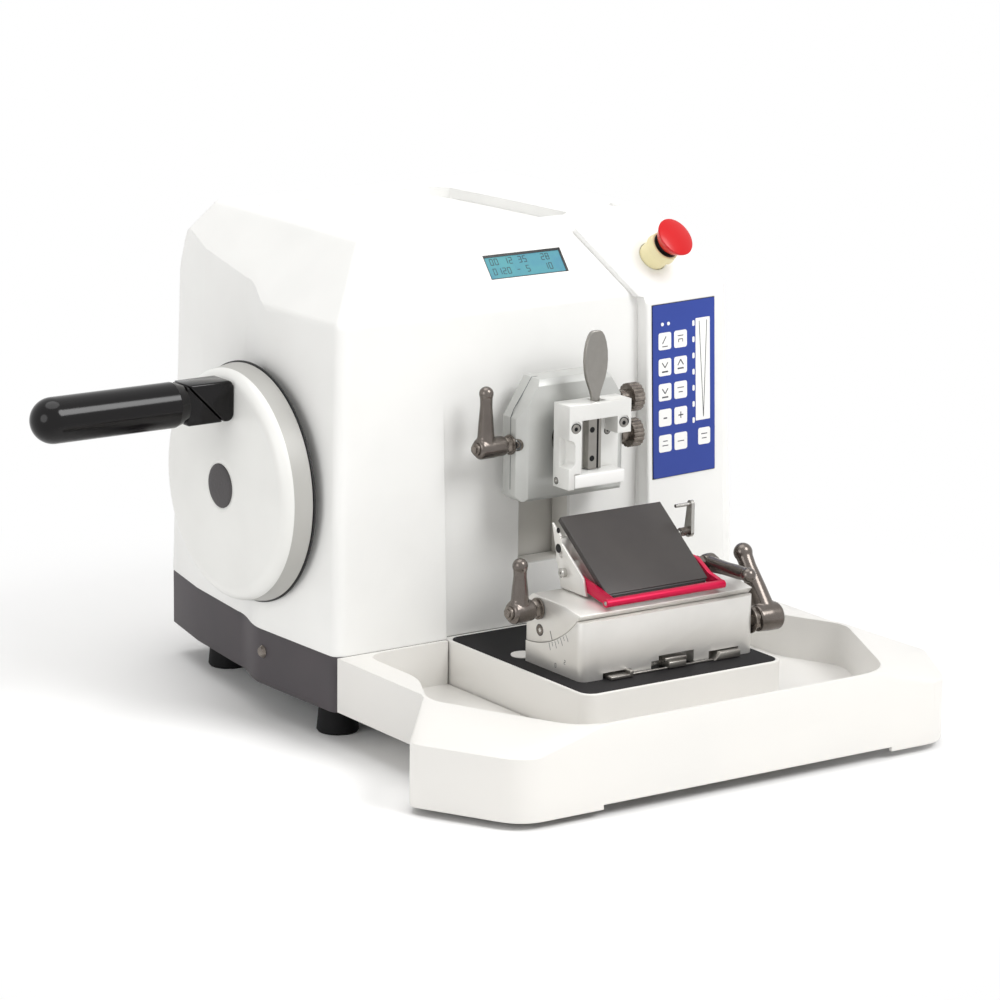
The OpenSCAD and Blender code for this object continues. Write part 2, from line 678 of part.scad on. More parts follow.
module vise_guide() in_frame() color("black") difference() {
  box([cut_x - 3.5, vise_front + 8, vise_z + 10], [cut_x + 6.5, vise_back - 7.5, vise_z1 - 10.5]);
  box([cut_x + 3, vise_front + 7, vise_z + 9], [cut_x + 4.5, vise_front + 11, vise_z1 - 9]);
  for (z = [vise_z + 17, vise_z + 36]) yrod(1.4, vise_front + 7, vise_front + 10, cut_x, z);
}

module vise_jaw() in_frame() color("white") union() {
  box([vise_x0 + 4.8, vise_front - 0.5, vise_z + 0.4], [vise_x1 - 4.5, vise_back - 7.8, vise_z + 9.4]);
}

module paddle_lever() in_frame() color("gray") union() {
  xrod(3.4, cut_x - 1.2, cut_x + 7.2, lever_y, lever_z);
  translate([0, lever_y, 0]) {
    box([cut_x + 0.3, -1.6, vise_z1 - 3], [cut_x + 5.7, 1.6, vise_z1 + 8]);
    along_y(-1.6, 1.6) translate([cut_x + 1, vise_z1 + 24])
      polygon([for (i = [0:35]) [paddle_w / 2 * cos(i * 10), 22 * sin(i * 10)]]);
  }
}

module knob(z) {
  translate([0, -24.2, z]) rotate([0, 90, 0]) translate([0, 0, head_x1]) {
    translate([0, 0, -10]) cylinder(r = 3, h = 11);
    translate([0, 0, 0.2]) cylinder(r = 5.5, h = 7);
    translate([0, 0, 7]) difference() {
      cylinder(r = knob_d / 2, h = 8);
      for (a = [0:20:350]) rotate([0, 0, a]) translate([knob_d / 2 + 0.4, 0, -1]) cylinder(r = 1, h = 10, $fn = 6);
    }
  }
}

module knob_upper() in_frame() color("silver") union() knob(pivot_z + 18);
module knob_lower() in_frame() color("silver") union() knob(pivot_z - 6);

// ---------- blade holder ----------

module holder_base() in_frame() color("silver") difference() {
  translate([0, 0, rim_h]) linear_extrude(holder_top - rim_h)
    rrect([holder_x0, -holder_front], [holder_x1, -holder_back + 5.5], 5.5);
  box([holder_x0 - 1, -holder_back, rim_h - 1], [holder_x1 + 1, 0, holder_top + 1]);
  xrod(seat_r + 0.15, holder_x0 - 1, holder_x1 + 1, -edge_y, edge_z);
  box([cut_x - 12, -140, rim_h - 1], [cut_x + 12, 0, rim_h + 6]);
  box([cut_x - 50, -140, rim_h - 1], [cut_x - 28, -131, rim_h + 4]);
  box([cut_x - 6, -140, rim_h - 1], [cut_x + 22, -131, rim_h + 9]);
  box([cut_x + 34, -140, rim_h - 1], [cut_x + 58, -131, rim_h + 6]);
  xrod(5 + run_gap, holder_x1 - 12, holder_x1 + 5, -132.5, 79);
}

module clamp_strip() in_frame() color("dimgray") {
  box([cut_x - 49, -141, rim_h], [cut_x - 29, -131.2, rim_h + 3.5]);
  box([cut_x + 13, -144, rim_h], [cut_x + 21, -131.2, rim_h + 8]);
  box([cut_x + 35, -143, rim_h], [cut_x + 57, -131.2, rim_h + 5.5]);
}

module blade_segment() in_frame() color("silver") difference() {
  along_x(holder_x0, holder_x1) intersection() {
    translate([-edge_y, edge_z]) circle(r = seat_r - 0.15, $fn = 96);
    polygon([[-holder_back - 0.3, 60], [-holder_back - 0.3, 101], [-84, 105.5], [-120, 104.6], [-137, 101.8], [-145, 60]]);
  }
  xrod(4 + run_gap, holder_x0 - 5, holder_x0 + 14, -91, 97);
}

module shift_lever() in_frame() color("dimgray") translate([holder_x0 - 0.3, -91, 97])
  clamp_lever(7.5, 22, 30, -1, 4, 12, 0);

module segment_lever() in_frame() color("dimgray") translate([holder_x1 + 0.3, -132.5, 79])
  clamp_lever(9.3, 24, 46, 1, 5, 10, -35);

// A point on the cutting plane's slope: d down from the blade edge, h below the slope
function slope_pt(d, h) = [-edge_y - d * 0.8 + h * 0.6, edge_z - d * 0.6 - h * 0.8];

module blade_seat() in_frame() color("silver") difference() {
  union() {
    along_x(plate_x0 + 4, plate_x1 + 1)
      polygon([slope_pt(1, 5), slope_pt(54, 5), [-118, 106.2], [-86, 106.2]]);
    along_x(plate_x0 - 4.5, plate_x0 - 3)
      polygon([slope_pt(0.5, 5), slope_pt(12, 5), slope_pt(13, 8), slope_pt(46, 8), [-112, 106.2], [-84, 106.2]]);
    box([plate_x0 - 4.5, guard_y + 4, guard_z + 5], [plate_x0 + 4.01, guard_y + 9.5, guard_z + 21]);
  }
  xrod(2.4, plate_x0 - 6, plate_x0 - 2.5, guard_y + 4, guard_z + 11);
  for (x = [plate_x0 - 6, plate_x1 - 6]) xrod(1.6 + run_gap, x, x + 12, guard_y, guard_z);
  xrod(2.5 + run_gap, plate_x1 - 9, plate_x1 + 6, clamp_y, clamp_z);
  xrod(1.5 + run_gap, plate_x1 - 6, plate_x1 + 6, release_y, release_z);
}

module pressure_plate() in_frame() color("dimgray") union() {
  along_x(plate_x0, plate_x1) polygon([slope_pt(0, 4.7 - plate_t), slope_pt(66, 4.7 - plate_t), slope_pt(66, 4.7), slope_pt(0, 4.7)]);
}

module blade_lever() in_frame() color("dimgray") translate([plate_x1 + 9, clamp_y, clamp_z])
  clamp_lever(6.3, 15, 44, 1, 2.5, 14, 88);

module release_lever() in_frame() color("silver") union() {
  xrod(1.5, plate_x1 - 4, plate_x1 + 15, release_y, release_z);
  along_x(plate_x1 + 13, plate_x1 + 15.5) translate([release_y, release_z]) union() {
    circle(r = 4);
    translate([-1.5, 18.5]) circle(r = 2.5);
    polygon([[-4, 0], [-4, 18.5], [1, 18.5], [4, 0]]);
  }
  xrod(1.2, plate_x1 + 1.5, plate_x1 + 14, release_y - 1.5, release_z + 18.5);
}

module finger_guard() in_frame() color("crimson") union() {
  along_x(plate_x0 - 2.7, plate_x0 - 0.35) union() {
    translate([guard_y, guard_z]) circle(r = 4);
    polygon([[-89, 121], [-88, 113], [-124, 105.6], [-136, 105.2], [-138, 110]]);
    translate([-137, 107.9]) circle(r = 2.6);
  }
  along_x(plate_x1 + 3, plate_x1 + 6) union() {
    translate([guard_y, guard_z]) circle(r = 4);
    polygon([[-88, 121], [-88, 115.9], [-109, 115.9], [-121, 106.5], [-136, 105.3], [-138, 110], [-124, 113], [-111, 120]]);
    translate([-137, 107.9]) circle(r = 2.6);
  }
  xrod(1.6, plate_x0 - 6, plate_x0 - 1, guard_y, guard_z);
  xrod(2.8, plate_x0 - 6.6, plate_x0 - 4.8, guard_y, guard_z);
  xrod(1.6, plate_x1 - 5, plate_x1 + 6, guard_y, guard_z);
  along_x(plate_x0 - 7.5, plate_x1 + 6) rrect([-140, 105.3], [-134, 110.5], 2.5);
}

// ---------- waste tray ----------

module mirror_plan() {
  union() {
    children();
    mirror([1, 0]) children();
  }
}

// An outline of [x, y, run] corners, each rounded over its run along both sides
function soft(p) = [for (i = [0:len(p) - 1]) let (
    c = [p[i][0], p[i][1]],
    a = p[(i + len(p) - 1) % len(p)],
    b = p[(i + 1) % len(p)],
    u = [a[0], a[1]] - c,
    v = [b[0], b[1]] - c)
  each p[i][2] == 0 ? [c] : [for (t = [0:0.2:1])
    c + p[i][2] * ((1 - t) * (1 - t) * u / norm(u) + t * t * v / norm(v))]];

module rim_plan(g) {
  mirror_plan() polygon(soft([
    [0, tray_back - g, 0],
    [-tray_arm + g, tray_back - g, 1 + g * 5],
    [-tray_arm + g, -74, 12],
    [-tray_arm - 21.6 + g, -117.2, 12],
    [-122 + g * 0.8, -tray_front + 1.6 + g, 22],
    [0, -tray_front + 1.6 + g, 0]
  ]));
}

module low_plan(g) {
  mirror_plan() polygon(soft([
    [0, -113 - g, 0],
    [-tray_arm - 16 + g, -113 - g, 6],
    [-tray_half - 2.74 + g, -151.7, 10],
    [-166.5 + g * 0.8, -tray_front + g, 16],
    [0, -tray_front + g, 0]
  ]));
}

module waste_tray() in_frame() color("white") difference() {
  union() {
    translate([0, 0, 5]) linear_extrude(40) low_plan(0);
    hull() {
      translate([0, 0, 44]) linear_extrude(1.5) low_plan(0);
      translate([0, 0, rim_h - 0.5]) linear_extrude(0.5) intersection() {
        rim_plan(0);
        translate([-200, -230]) square([400, 118]);
      }
    }
    translate([0, 0, 23]) linear_extrude(rim_h - 23) intersection() {
      union() {
        rim_plan(0);
        mirror_plan() translate([-tray_arm - 16, -116]) square([22, 116 + tray_back]);
      }
      translate([-200, -117]) square([400, 117 + tray_back]);
    }
  }
  translate([0, 0, tray_floor + 3]) linear_extrude(rim_h) rim_plan(tray_wall);
  translate([0, 0, 4]) linear_extrude(tray_floor - 4) low_plan(tray_wall);
  translate([0, 0, 4]) linear_extrude(rim_h) rrect([-plat_half - 1.2, -plat_front - 1.6], [plat_half + 1.2, 40], 11);
  // relief under the front edge
  box([-106, -tray_front - 1, 4], [122, -tray_front + tray_wall + 1, 8]);
}

base_plate();
body_skirt();
rubber_feet();
skirt_screws();
hood();
hood_screw();
console();
display();
keypad();
estop_collar();
estop_button();
power_inlet();
rocker_switch();
control_board();
slot_liner();
platform();
platform_mat();
platform_disc();
dovetail_rail();
pedestal();
bearings();
guide_column();
guide_rails();
handwheel();
wheel_ring();
hub_cap();
crankshaft();
crank_disc();
handle_lug();
handle_knuckle();
grip();
carriage();
slot_shield();
feed_motor();
feed_ram();
specimen_head();
head_lever();
swivel_ring();
swivel_ball();
vise_frame();
vise_guide();
vise_jaw();
paddle_lever();
knob_upper();
knob_lower();
holder_base();
clamp_strip();
blade_segment();
segment_lever();
shift_lever();
blade_seat();
pressure_plate();
blade_lever();
release_lever();
finger_guard();
waste_tray();
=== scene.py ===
import json
from math import cos, pi, radians, sin

import bmesh
import bpy
from mathutils import Matrix, Vector


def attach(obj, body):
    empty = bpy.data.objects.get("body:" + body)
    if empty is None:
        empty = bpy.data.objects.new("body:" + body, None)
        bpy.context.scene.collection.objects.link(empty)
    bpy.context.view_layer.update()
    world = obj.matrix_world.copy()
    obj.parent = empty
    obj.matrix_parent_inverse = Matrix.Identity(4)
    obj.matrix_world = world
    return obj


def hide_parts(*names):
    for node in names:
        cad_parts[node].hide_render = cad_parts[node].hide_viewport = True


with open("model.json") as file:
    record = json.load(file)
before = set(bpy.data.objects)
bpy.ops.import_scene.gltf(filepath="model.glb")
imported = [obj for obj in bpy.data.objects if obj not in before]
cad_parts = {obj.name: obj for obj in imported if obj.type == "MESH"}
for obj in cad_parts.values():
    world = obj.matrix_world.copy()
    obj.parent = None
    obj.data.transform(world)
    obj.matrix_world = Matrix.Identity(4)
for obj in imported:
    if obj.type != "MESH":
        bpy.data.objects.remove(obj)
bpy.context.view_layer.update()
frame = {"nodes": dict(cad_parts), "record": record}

MM = 0.001
# Shapes are drawn in millimetres from the point under the hood's knee on the cutting axis. It lies here in the frame.
KNEE_POINT = Vector((66.0, -10.35, 0.0))
TO_FRAME = Matrix.Scale(MM, 4) @ Matrix.Translation(KNEE_POINT)
FRONT, LEFT, RIGHT = (0, -1, 0), (-1, 0, 0), (1, 0, 0)


def linked(name, data):
    """A new object in the scene that holds the data."""
    thing = bpy.data.objects.new(name, data)
    bpy.context.scene.collection.objects.link(thing)
    return thing


# ---------------------------------------------------------------- colours and shader nodes


def colour(code):
    """An sRGB hex colour as a linear colour."""
    channels = [int(code[i : i + 2], 16) / 255 for i in (1, 3, 5)]
    linear = [c / 12.92 if c <= 0.04045 else ((c + 0.055) / 1.055) ** 2.4 for c in channels]
    return (*linear, 1.0)


def add(tree, kind, inputs=None, **settings):
    """A new node of that kind. An input is a value or another node's output socket."""
    node = tree.nodes.new(kind)
    for name, value in settings.items():
        setattr(node, name, value)
    for name, value in (inputs or {}).items():
        socket = node.inputs[name]
        if isinstance(value, bpy.types.NodeSocket):
            tree.links.new(value, socket)
        else:
            socket.default_value = value
    return node


def surface(name, base, roughness, metallic=0.0, grain=None, drift=None, edge=0.0, **extra):
    """A principled material. grain is (size mm, bump depth mm), drift is (size mm, second colour, share)."""
    material = bpy.data.materials.new(name)
    material.use_nodes = True
    tree = material.node_tree
    shader = tree.nodes["Principled BSDF"]
    shader.inputs["Base Color"].default_value = colour(base)
    shader.inputs["Roughness"].default_value = roughness
    shader.inputs["Metallic"].default_value = metallic
    for socket, value in extra.items():
        shader.inputs[socket.replace("_", " ")].default_value = value
    place = add(tree, "ShaderNodeTexCoord").outputs["Object"]
    if drift:
        size, second, share = drift
        cloud = add(tree, "ShaderNodeTexNoise", {"Vector": place, "Scale": 1 / (size * MM), "Detail": 3.0})
        spread = add(tree, "ShaderNodeMapRange", {"Value": cloud.outputs["Fac"], "From Min": 0.35, "From Max": 0.65,
                                                  "To Min": 0.0, "To Max": share})
        mix = add(tree, "ShaderNodeMix", {"Factor": spread.outputs[0]}, data_type="RGBA")
        mix.inputs[6].default_value = colour(base)
        mix.inputs[7].default_value = colour(second)
        tree.links.new(mix.outputs[2], shader.inputs["Base Color"])
    normal = None
    if edge:
        normal = add(tree, "ShaderNodeBevel", {"Radius": edge * MM}, samples=4).outputs[0]
    if grain:
        size, depth = grain
        speck = add(tree, "ShaderNodeTexNoise", {"Vector": place, "Scale": 1 / (size * MM), "Detail": 2.0})
        bump = add(tree, "ShaderNodeBump", {"Height": speck.outputs["Fac"], "Distance": depth * MM, "Strength": 0.6})
        if normal:
            tree.links.new(normal, bump.inputs["Normal"])
        normal = bump.outputs[0]
    if normal:
        tree.links.new(normal, shader.inputs["Normal"])
    return material


# Polyurethane structure paint on sheet and cast housings: bright, slightly pebbled, broad soft highlights
housing_paint = surface("housing_paint", "#f1f1ef", 0.42, grain=(1.1, 0.02), drift=(90, "#e6e6e4", 0.5), edge=0.8)
# Thermoformed ABS of tray and platform: a little warmer and smoother than the paint
tray_abs = surface("tray_abs", "#e6e4e0", 0.36, grain=(2.2, 0.015), drift=(120, "#dfdedb", 0.5), edge=0.8)
# Grained ABS of the lower skirt: warm charcoal that goes dull, not black
skirt_abs = surface("skirt_abs", "#4b4649", 0.58, grain=(0.9, 0.05), drift=(60, "#434043", 0.7),
                    Specular_IOR_Level=0.3)
# Moulded nitrile of feet and bench mat
foot_rubber = surface("foot_rubber", "#121213", 0.7, grain=(1.2, 0.06), Specular_IOR_Level=0.2)
mat_rubber = surface("mat_rubber", "#171618", 0.66, grain=(1.0, 0.05), drift=(40, "#121113", 0.8),
                     Specular_IOR_Level=0.2)
# Sprayed satin enamel on the cast handwheel: near white on the face, light grey on the rim's band
wheel_enamel = surface("wheel_enamel", "#e9e9e6", 0.33, grain=(1.6, 0.012), drift=(70, "#dfdfdc", 0.6), edge=0.6)
rim_enamel = surface("rim_enamel", "#b4b3af", 0.4, grain=(1.6, 0.012), drift=(70, "#a9a8a4", 0.6))
# Knobbly thermoplastic cap on the hub
cap_plastic = surface("cap_plastic", "#454243", 0.6, grain=(1.5, 0.5))
# Polished phenolic of grip and lug: black with a sharp window of light
phenolic = surface("phenolic", "#070506", 0.14, grain=(3.0, 0.008), Specular_IOR_Level=0.28)
# Bead-blasted, clear-anodised aluminium of the blade holder
blasted_aluminium = surface("blasted_aluminium", "#e2e0dc", 0.36, 0.6, grain=(0.7, 0.03), drift=(40, "#d3d1cd", 0.5))
# Silver-grey hammer enamel on the cast specimen head
head_enamel = surface("head_enamel", "#c2c3c0", 0.36, 0.25, grain=(0.9, 0.02), drift=(30, "#b5b6b3", 0.6), edge=0.8)
# Zinc die-cast levers in pewter paint
pewter = surface("pewter", "#6d6661", 0.24, 0.8, grain=(0.8, 0.02), drift=(12, "#5f5954", 0.6))
# Ground and turned stainless parts; and black for the index line, and as painted shade in the depth of bores and screw
# sockets
ground_steel = surface("ground_steel", "#b9b7b3", 0.25, 1.0, grain=(0.6, 0.01), drift=(9, "#a09e9a", 0.6), edge=0.3)
black_steel = surface("black_steel", "#1b1b1c", 0.35, 0.7, grain=(0.8, 0.01), edge=0.3)
# Turned carbon steel of knobs, nuts and screws: browned, with bright crests
turned_steel = surface("turned_steel", "#857d76", 0.26, 0.8, grain=(0.5, 0.01), drift=(4, "#5d5650", 0.7), edge=0.3)
# Milled steel of guide and index bar
milled_steel = surface("milled_steel", "#95928d", 0.3, 0.9, grain=(0.5, 0.01), drift=(6, "#8e8b86", 0.6))
# Hard nickel-bronze coating of the pressure plate: brown-black with a wide sheen
plate_coating = surface("plate_coating", "#3d3937", 0.36, 0.25, grain=(0.6, 0.01), drift=(35, "#353130", 0.7),
                        edge=0.5)
# Red anodised finger guard
guard_anodise = surface("guard_anodise", "#c60640", 0.34, 0.3, grain=(0.8, 0.01), Specular_IOR_Level=0.3)
# Polyester keypad film over white print
film_blue = surface("film_blue", "#2c4398", 0.45, grain=(0.5, 0.006), drift=(50, "#283e90", 0.6),
                    Specular_IOR_Level=0.35)
# Reflective display glass
lcd_glass = surface("lcd_glass", "#559aa2", 0.2, drift=(22, "#4b86a0", 0.8))
# Injection-moulded polyamide of the emergency stop, inlet, rocker and seals
stop_red = surface("stop_red", "#c80810", 0.3, grain=(2.0, 0.01), Specular_IOR_Level=0.35)
collar_cream = surface("collar_cream", "#ece2b4", 0.4, grain=(1.5, 0.01), edge=0.4)
black_plastic = surface("black_plastic", "#181819", 0.45, grain=(1.0, 0.02), edge=0.4)
# Painted castings, board and shield inside
casting_paint = surface("casting_paint", "#5a5e60", 0.55, grain=(1.4, 0.08))
board_laminate = surface("board_laminate", "#1d5a36", 0.4, drift=(8, "#174a2c", 0.8))
shield_paint = surface("shield_paint", "#e6e4df", 0.45, grain=(1.0, 0.02), drift=(40, "#dddbd6", 0.6))
# White lacquer of the vise's frame, and the bare polyamide bar of its jaw
vise_paint = surface("vise_paint", "#e4e4e1", 0.3, 0.3, grain=(0.9, 0.015), drift=(25, "#dcdcd9", 0.5), edge=0.5)
jaw_white = surface("jaw_white", "#f0f0ee", 0.3, grain=(1.2, 0.01), edge=0.4)
# Screen-printed inks on the keypad film and the glass
print_white = surface("print_white", "#f3f3f1", 0.42, grain=(0.6, 0.004))
print_grey = surface("print_grey", "#4a4b50", 0.5, grain=(0.4, 0.004))
lcd_ink = surface("lcd_ink", "#27424a", 0.3, drift=(6, "#2f4d55", 0.6))

FINISH = {
    housing_paint: ["hood", "hood_screw", "console"],
    tray_abs: ["waste_tray", "platform", "platform_disc"],
    skirt_abs: ["body_skirt"],
    foot_rubber: ["rubber_feet"],
    mat_rubber: ["platform_mat"],
    wheel_enamel: ["handwheel"],
    cap_plastic: ["hub_cap"],
    phenolic: ["grip", "handle_lug", "handle_knuckle"],
    blasted_aluminium: ["holder_base", "blade_segment", "blade_seat"],
    head_enamel: ["specimen_head"],
    pewter: ["head_lever", "shift_lever", "segment_lever", "blade_lever", "clamp_strip"],
    turned_steel: ["knob_upper", "knob_lower", "skirt_screws"],
    ground_steel: ["paddle_lever", "release_lever", "swivel_ring", "swivel_ball", "feed_ram", "crankshaft", "bearings",
                   "guide_rails", "dovetail_rail"],
    milled_steel: ["vise_guide"],
    plate_coating: ["pressure_plate"],
    guard_anodise: ["finger_guard"],
    film_blue: ["keypad"],
    lcd_glass: ["display"],
    stop_red: ["estop_button"],
    collar_cream: ["estop_collar"],
    black_plastic: ["power_inlet", "rocker_switch", "wheel_ring", "feed_motor"],
    casting_paint: ["base_plate", "pedestal", "guide_column", "crank_disc", "carriage"],
    board_laminate: ["control_board"],
    shield_paint: ["slot_liner", "slot_shield"],
    vise_paint: ["vise_frame"],
    jaw_white: ["vise_jaw"],
}
for material, names in FINISH.items():
    for name in names:
        materials = frame["nodes"][name].data.materials
        materials.clear()
        materials.append(material)

# ---------------------------------------------------------------- shapes

BODY_OF = {node: body for body, nodes in frame["record"]["behaviour"]["bodies"].items() for node in nodes}
# Corners of a solid closer than WELD metres are one, and facets within the angle FLAT are one face
WELD = 0.000005
FLAT = radians(0.8)


def shade(mesh, sharp):
    """Smooth shading with creases where faces meet at more than that angle."""
    mesh.shade_smooth()
    mesh.set_sharp_from_angle(angle=radians(sharp))


def settle(name, mesh, like, material, stands_for=()):
    """Links a finished mesh, in the given material, as a piece that rides with a CAD node."""
    mesh.name = name
    mesh.materials.clear()
    mesh.materials.append(material)
    piece = linked(name, mesh)
    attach(piece, BODY_OF[like])
    if stands_for:
        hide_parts(*stands_for)


def in_frame(name, shape):
    """The mesh, in the frame, of a shape that was drawn in millimetres. The shape goes."""
    bmesh.ops.recalc_face_normals(shape, faces=shape.faces)
    bmesh.ops.transform(shape, matrix=TO_FRAME, verts=shape.verts)
    mesh = bpy.data.meshes.new(name)
    shape.to_mesh(mesh)
    shape.free()
    return mesh


def fit(name, shape, like, material, stands_for=(), sharp=35):
    """Ends a drawn shape as a piece."""
    mesh = in_frame(name, shape)
    shade(mesh, sharp)
    settle(name, mesh, like, material, stands_for)


def baked(holder):
    """The plain mesh that a holder's modifiers make. The holder goes."""
    bpy.context.view_layer.update()
    mesh = bpy.data.meshes.new_from_object(holder.evaluated_get(bpy.context.evaluated_depsgraph_get()))
    bpy.data.objects.remove(holder)
    return mesh


def softened(node, width, angle, material):
    """A CAD node's shape with the edges past that angle rounded over width mm, standing for the node."""
    mesh = frame["nodes"][node].data.copy()
    shape = bmesh.new()
    shape.from_mesh(mesh)
    bmesh.ops.remove_doubles(shape, verts=shape.verts, dist=WELD)
    bmesh.ops.dissolve_limit(shape, angle_limit=FLAT, verts=shape.verts, edges=shape.edges)
    shape.to_mesh(mesh)
    shape.free()
    holder = linked(node + "_holder", mesh)
    bevel = holder.modifiers.new("edges", "BEVEL")
    bevel.width = width * MM
    bevel.segments = 3
    bevel.limit_method = "ANGLE"
    bevel.angle_limit = radians(angle)
    result = baked(holder)
    shade(result, 40)
    settle(node + "_softened", result, node, material, (node,))


def facing(point, direction):
    """A place at the point whose Z axis looks along the direction."""
    return Matrix.Translation(Vector(point)) @ Vector(direction).to_track_quat("Z", "Y").to_matrix().to_4x4()


def bridged(shape, low, high):
    """The faces between two loops with as many corners."""
    around = [(i, (i + 1) % len(low)) for i in range(len(low))]
    return [shape.faces.new([low[i], low[j], high[j], high[i]]) for i, j in around]


def turned(shape, outline, place, steps=36, closed=False):
    """Spins an outline of (radius, height) round the place's Z axis. A third number makes a ring six-sided."""
    rings = []
    for radius, height, *sides in outline:
        if radius == 0:
            rings.append([shape.verts.new(place @ Vector((0, 0, height)))])
            continue
        ring = []
        for i in range(steps):
            turn = 2 * pi * i / steps
            reach = radius * cos(pi / 6) / cos(turn % (pi / 3) - pi / 6) if sides else radius
            ring.append(shape.verts.new(place @ Vector((reach * cos(turn), reach * sin(turn), height))))
        rings.append(ring)
    pairs = list(zip(rings, rings[1:]))
    if closed:
        pairs.append((rings[-1], rings[0]))
    for low, high in pairs:
        for i in range(steps):
            j = (i + 1) % steps
            corners = [low[i % len(low)], low[j % len(low)], high[j % len(high)], high[i % len(high)]]
            corners = list(dict.fromkeys(corners))
            if len(corners) > 2:
                shape.faces.new(corners)


def spun(name, outline, place, steps, like, material, stands_for=(), closed=False, sharp=35):
    """A piece that is one spun outline."""
    shape = bmesh.new()
    turned(shape, outline, place, steps, closed)
    fit(name, shape, like, material, stands_for, sharp)


def drawn(shape, outline, low, high, place, soft=0.0):
    """Draws a flat outline out along the place's Z axis. Its edges are rounded over soft mm."""
    ends = [[shape.verts.new(place @ Vector((x, y, z))) for x, y in outline] for z in (low, high)]
    faces = [shape.faces.new(ends[0][::-1]), shape.faces.new(ends[1])] + bridged(shape, *ends)
    if soft:
        for face in faces:
            face.normal_update()
        edges = dict.fromkeys(edge for face in faces for edge in face.edges)
        sharp = [edge for edge in edges if edge.calc_face_angle(0) > radians(30)]
        bmesh.ops.bevel(shape, geom=sharp, offset=soft, segments=3, affect="EDGES", profile=0.5)


def block(shape, low, high, soft=0.0):
    """A block between two corners."""
    outline = [(low[0], low[1]), (high[0], low[1]), (high[0], high[1]), (low[0], high[1])]
    drawn(shape, outline, low[2], high[2], Matrix(), soft)


def stroke(shape, start, end, width, place, low, high):
    """A straight printed stroke between two points of the place's plane."""
    start, end = Vector(start), Vector(end)
    side = (end - start).normalized().orthogonal() * width / 2
    outline = [start - side, end - side, end + side, start + side]
    drawn(shape, [tuple(point) for point in outline], low, high, place)


def socket_screw(metal, dark, point, direction, radius, bore, proud, sunk=0.6):
    """A cap screw's head with its hexagon socket, whose black inside is painted shade, and the black seat line round
    it.
    """
    place = facing(point, direction)
    turned(metal, [(bore, -sunk, 6), (bore, proud - 0.1, 6), (bore * 1.15, proud), (radius - 0.35, proud),
                   (radius, proud - 0.35), (radius, -sunk)], place, closed=True)
    # The socket's black floor and walls: painted shade
    turned(dark, [(0, proud - 0.55), (bore * 0.99, proud - 0.55, 6), (bore * 0.99, -sunk, 6), (0, -sunk)], place)
    turned(dark, [(radius + 0.05, 0.04), (radius + 0.5, 0.04), (radius + 0.5, -0.3), (radius + 0.05, -0.3)], place,
           closed=True)


# ---------------------------------------------------------------- soft edges of the moulded and cast pieces

for node, width, angle, material in (
    ("holder_base", 1.6, 28, blasted_aluminium),
    ("blade_segment", 0.9, 28, blasted_aluminium),
    ("blade_seat", 0.4, 28, blasted_aluminium),
    ("specimen_head", 1.5, 28, head_enamel),
    ("vise_frame", 1.5, 28, vise_paint),
    ("vise_jaw", 1.2, 28, jaw_white),
    ("pressure_plate", 0.5, 28, plate_coating),
    ("platform", 1.0, 28, tray_abs),
    ("waste_tray", 0.9, 40, tray_abs),
    ("estop_collar", 0.7, 28, collar_cream),
    ("finger_guard", 0.5, 28, guard_anodise),
    ("body_skirt", 0.8, 28, skirt_abs),
):
    softened(node, width, angle, material)

# ---------------------------------------------------------------- holder clamps on the dovetail

CLAMP_FACE = Matrix.Rotation(pi / 2, 4, "X")
clamps = bmesh.new()
for low, high, soft in (
    ((-0.5, -141.5, 63.6), (16.5, -131.5, 66.2), 0.5),
    ((1.5, -143.0, 59.3), (15.5, -133.0, 63.7), 0.7),
    ((-45.5, -145.0, 59.2), (-28.5, -131.6, 61.4), 0.5),
    ((-31.0, -145.2, 59.2), (-28.2, -132.0, 63.6), 0.6),
    ((-28.4, -141.6, 59.15), (37.6, -139.8, 60.3), 0.3),
):
    block(clamps, low, high, soft)
drawn(clamps, [(37.5, 59.3), (58.5, 59.3), (58.5, 64.2), (42.5, 64.2)], 131.6, 143.5, CLAMP_FACE, 0.6)
fit("dovetail_clamps", clamps, "clamp_strip", milled_steel, ("clamp_strip",))

# ---------------------------------------------------------------- handwheel

# Heights of the spun outlines run out along the shaft, from the cutting axis
SHAFT = facing((0, 90.5, 156.5), LEFT)
RIM_RADIUS, RIM_REACH, RIM_EDGE = 67.3, 180.5, 9.5
WHEEL_STEPS = 128

rim = [(RIM_RADIUS + RIM_EDGE * cos(radians(a)), RIM_REACH + RIM_EDGE * sin(radians(a))) for a in range(0, 91, 9)]
wheel_face = [(60, 190.25), (52, 190.55), (43, 190.9), (34, 191.25), (26, 191.6), (18, 191.9), (15.2, 191.95)]
wheel_hub = [(14.85, 191.6), (10.05, 191.5), (10.05, 169.5), (24, 169.5), (24, 185.6)]
wheel_back = [(60, 185.8), (RIM_RADIUS, 186.0), (70.8, 184.2), (72.8, RIM_REACH), (74.4, 170.1), (74.8, 169.5)]
spun("cast_wheel", [(78.0, 169.5), (78.6, 170.1)] + rim + wheel_face + wheel_hub + wheel_back, SHAFT, WHEEL_STEPS,
     "handwheel", wheel_enamel, ("handwheel",), closed=True, sharp=50)
spun("rim_band", [(78.0, 170.2), (78.75, 170.2), (76.95, 180.5), (76.6, 182.5), (75.7, 182.3), (76.0, 180.5)], SHAFT,
     WHEEL_STEPS, "handwheel", rim_enamel, closed=True)
spun("rim_seal", [(64, 168.4), (79.5, 168.4), (79.8, 168.7), (79.8, 169.2), (79.5, 169.45), (64, 169.45)], SHAFT,
     WHEEL_STEPS, "wheel_ring", black_plastic, ("wheel_ring",), closed=True)
spun("hub_cover", [(0, 193), (9, 192.97), (12.6, 192.8), (14, 192.5), (14.6, 192.05), (14.6, 191.6), (0, 191.55)],
     SHAFT, 64, "hub_cap", cap_plastic, ("hub_cap",))

# ---------------------------------------------------------------- folding handle

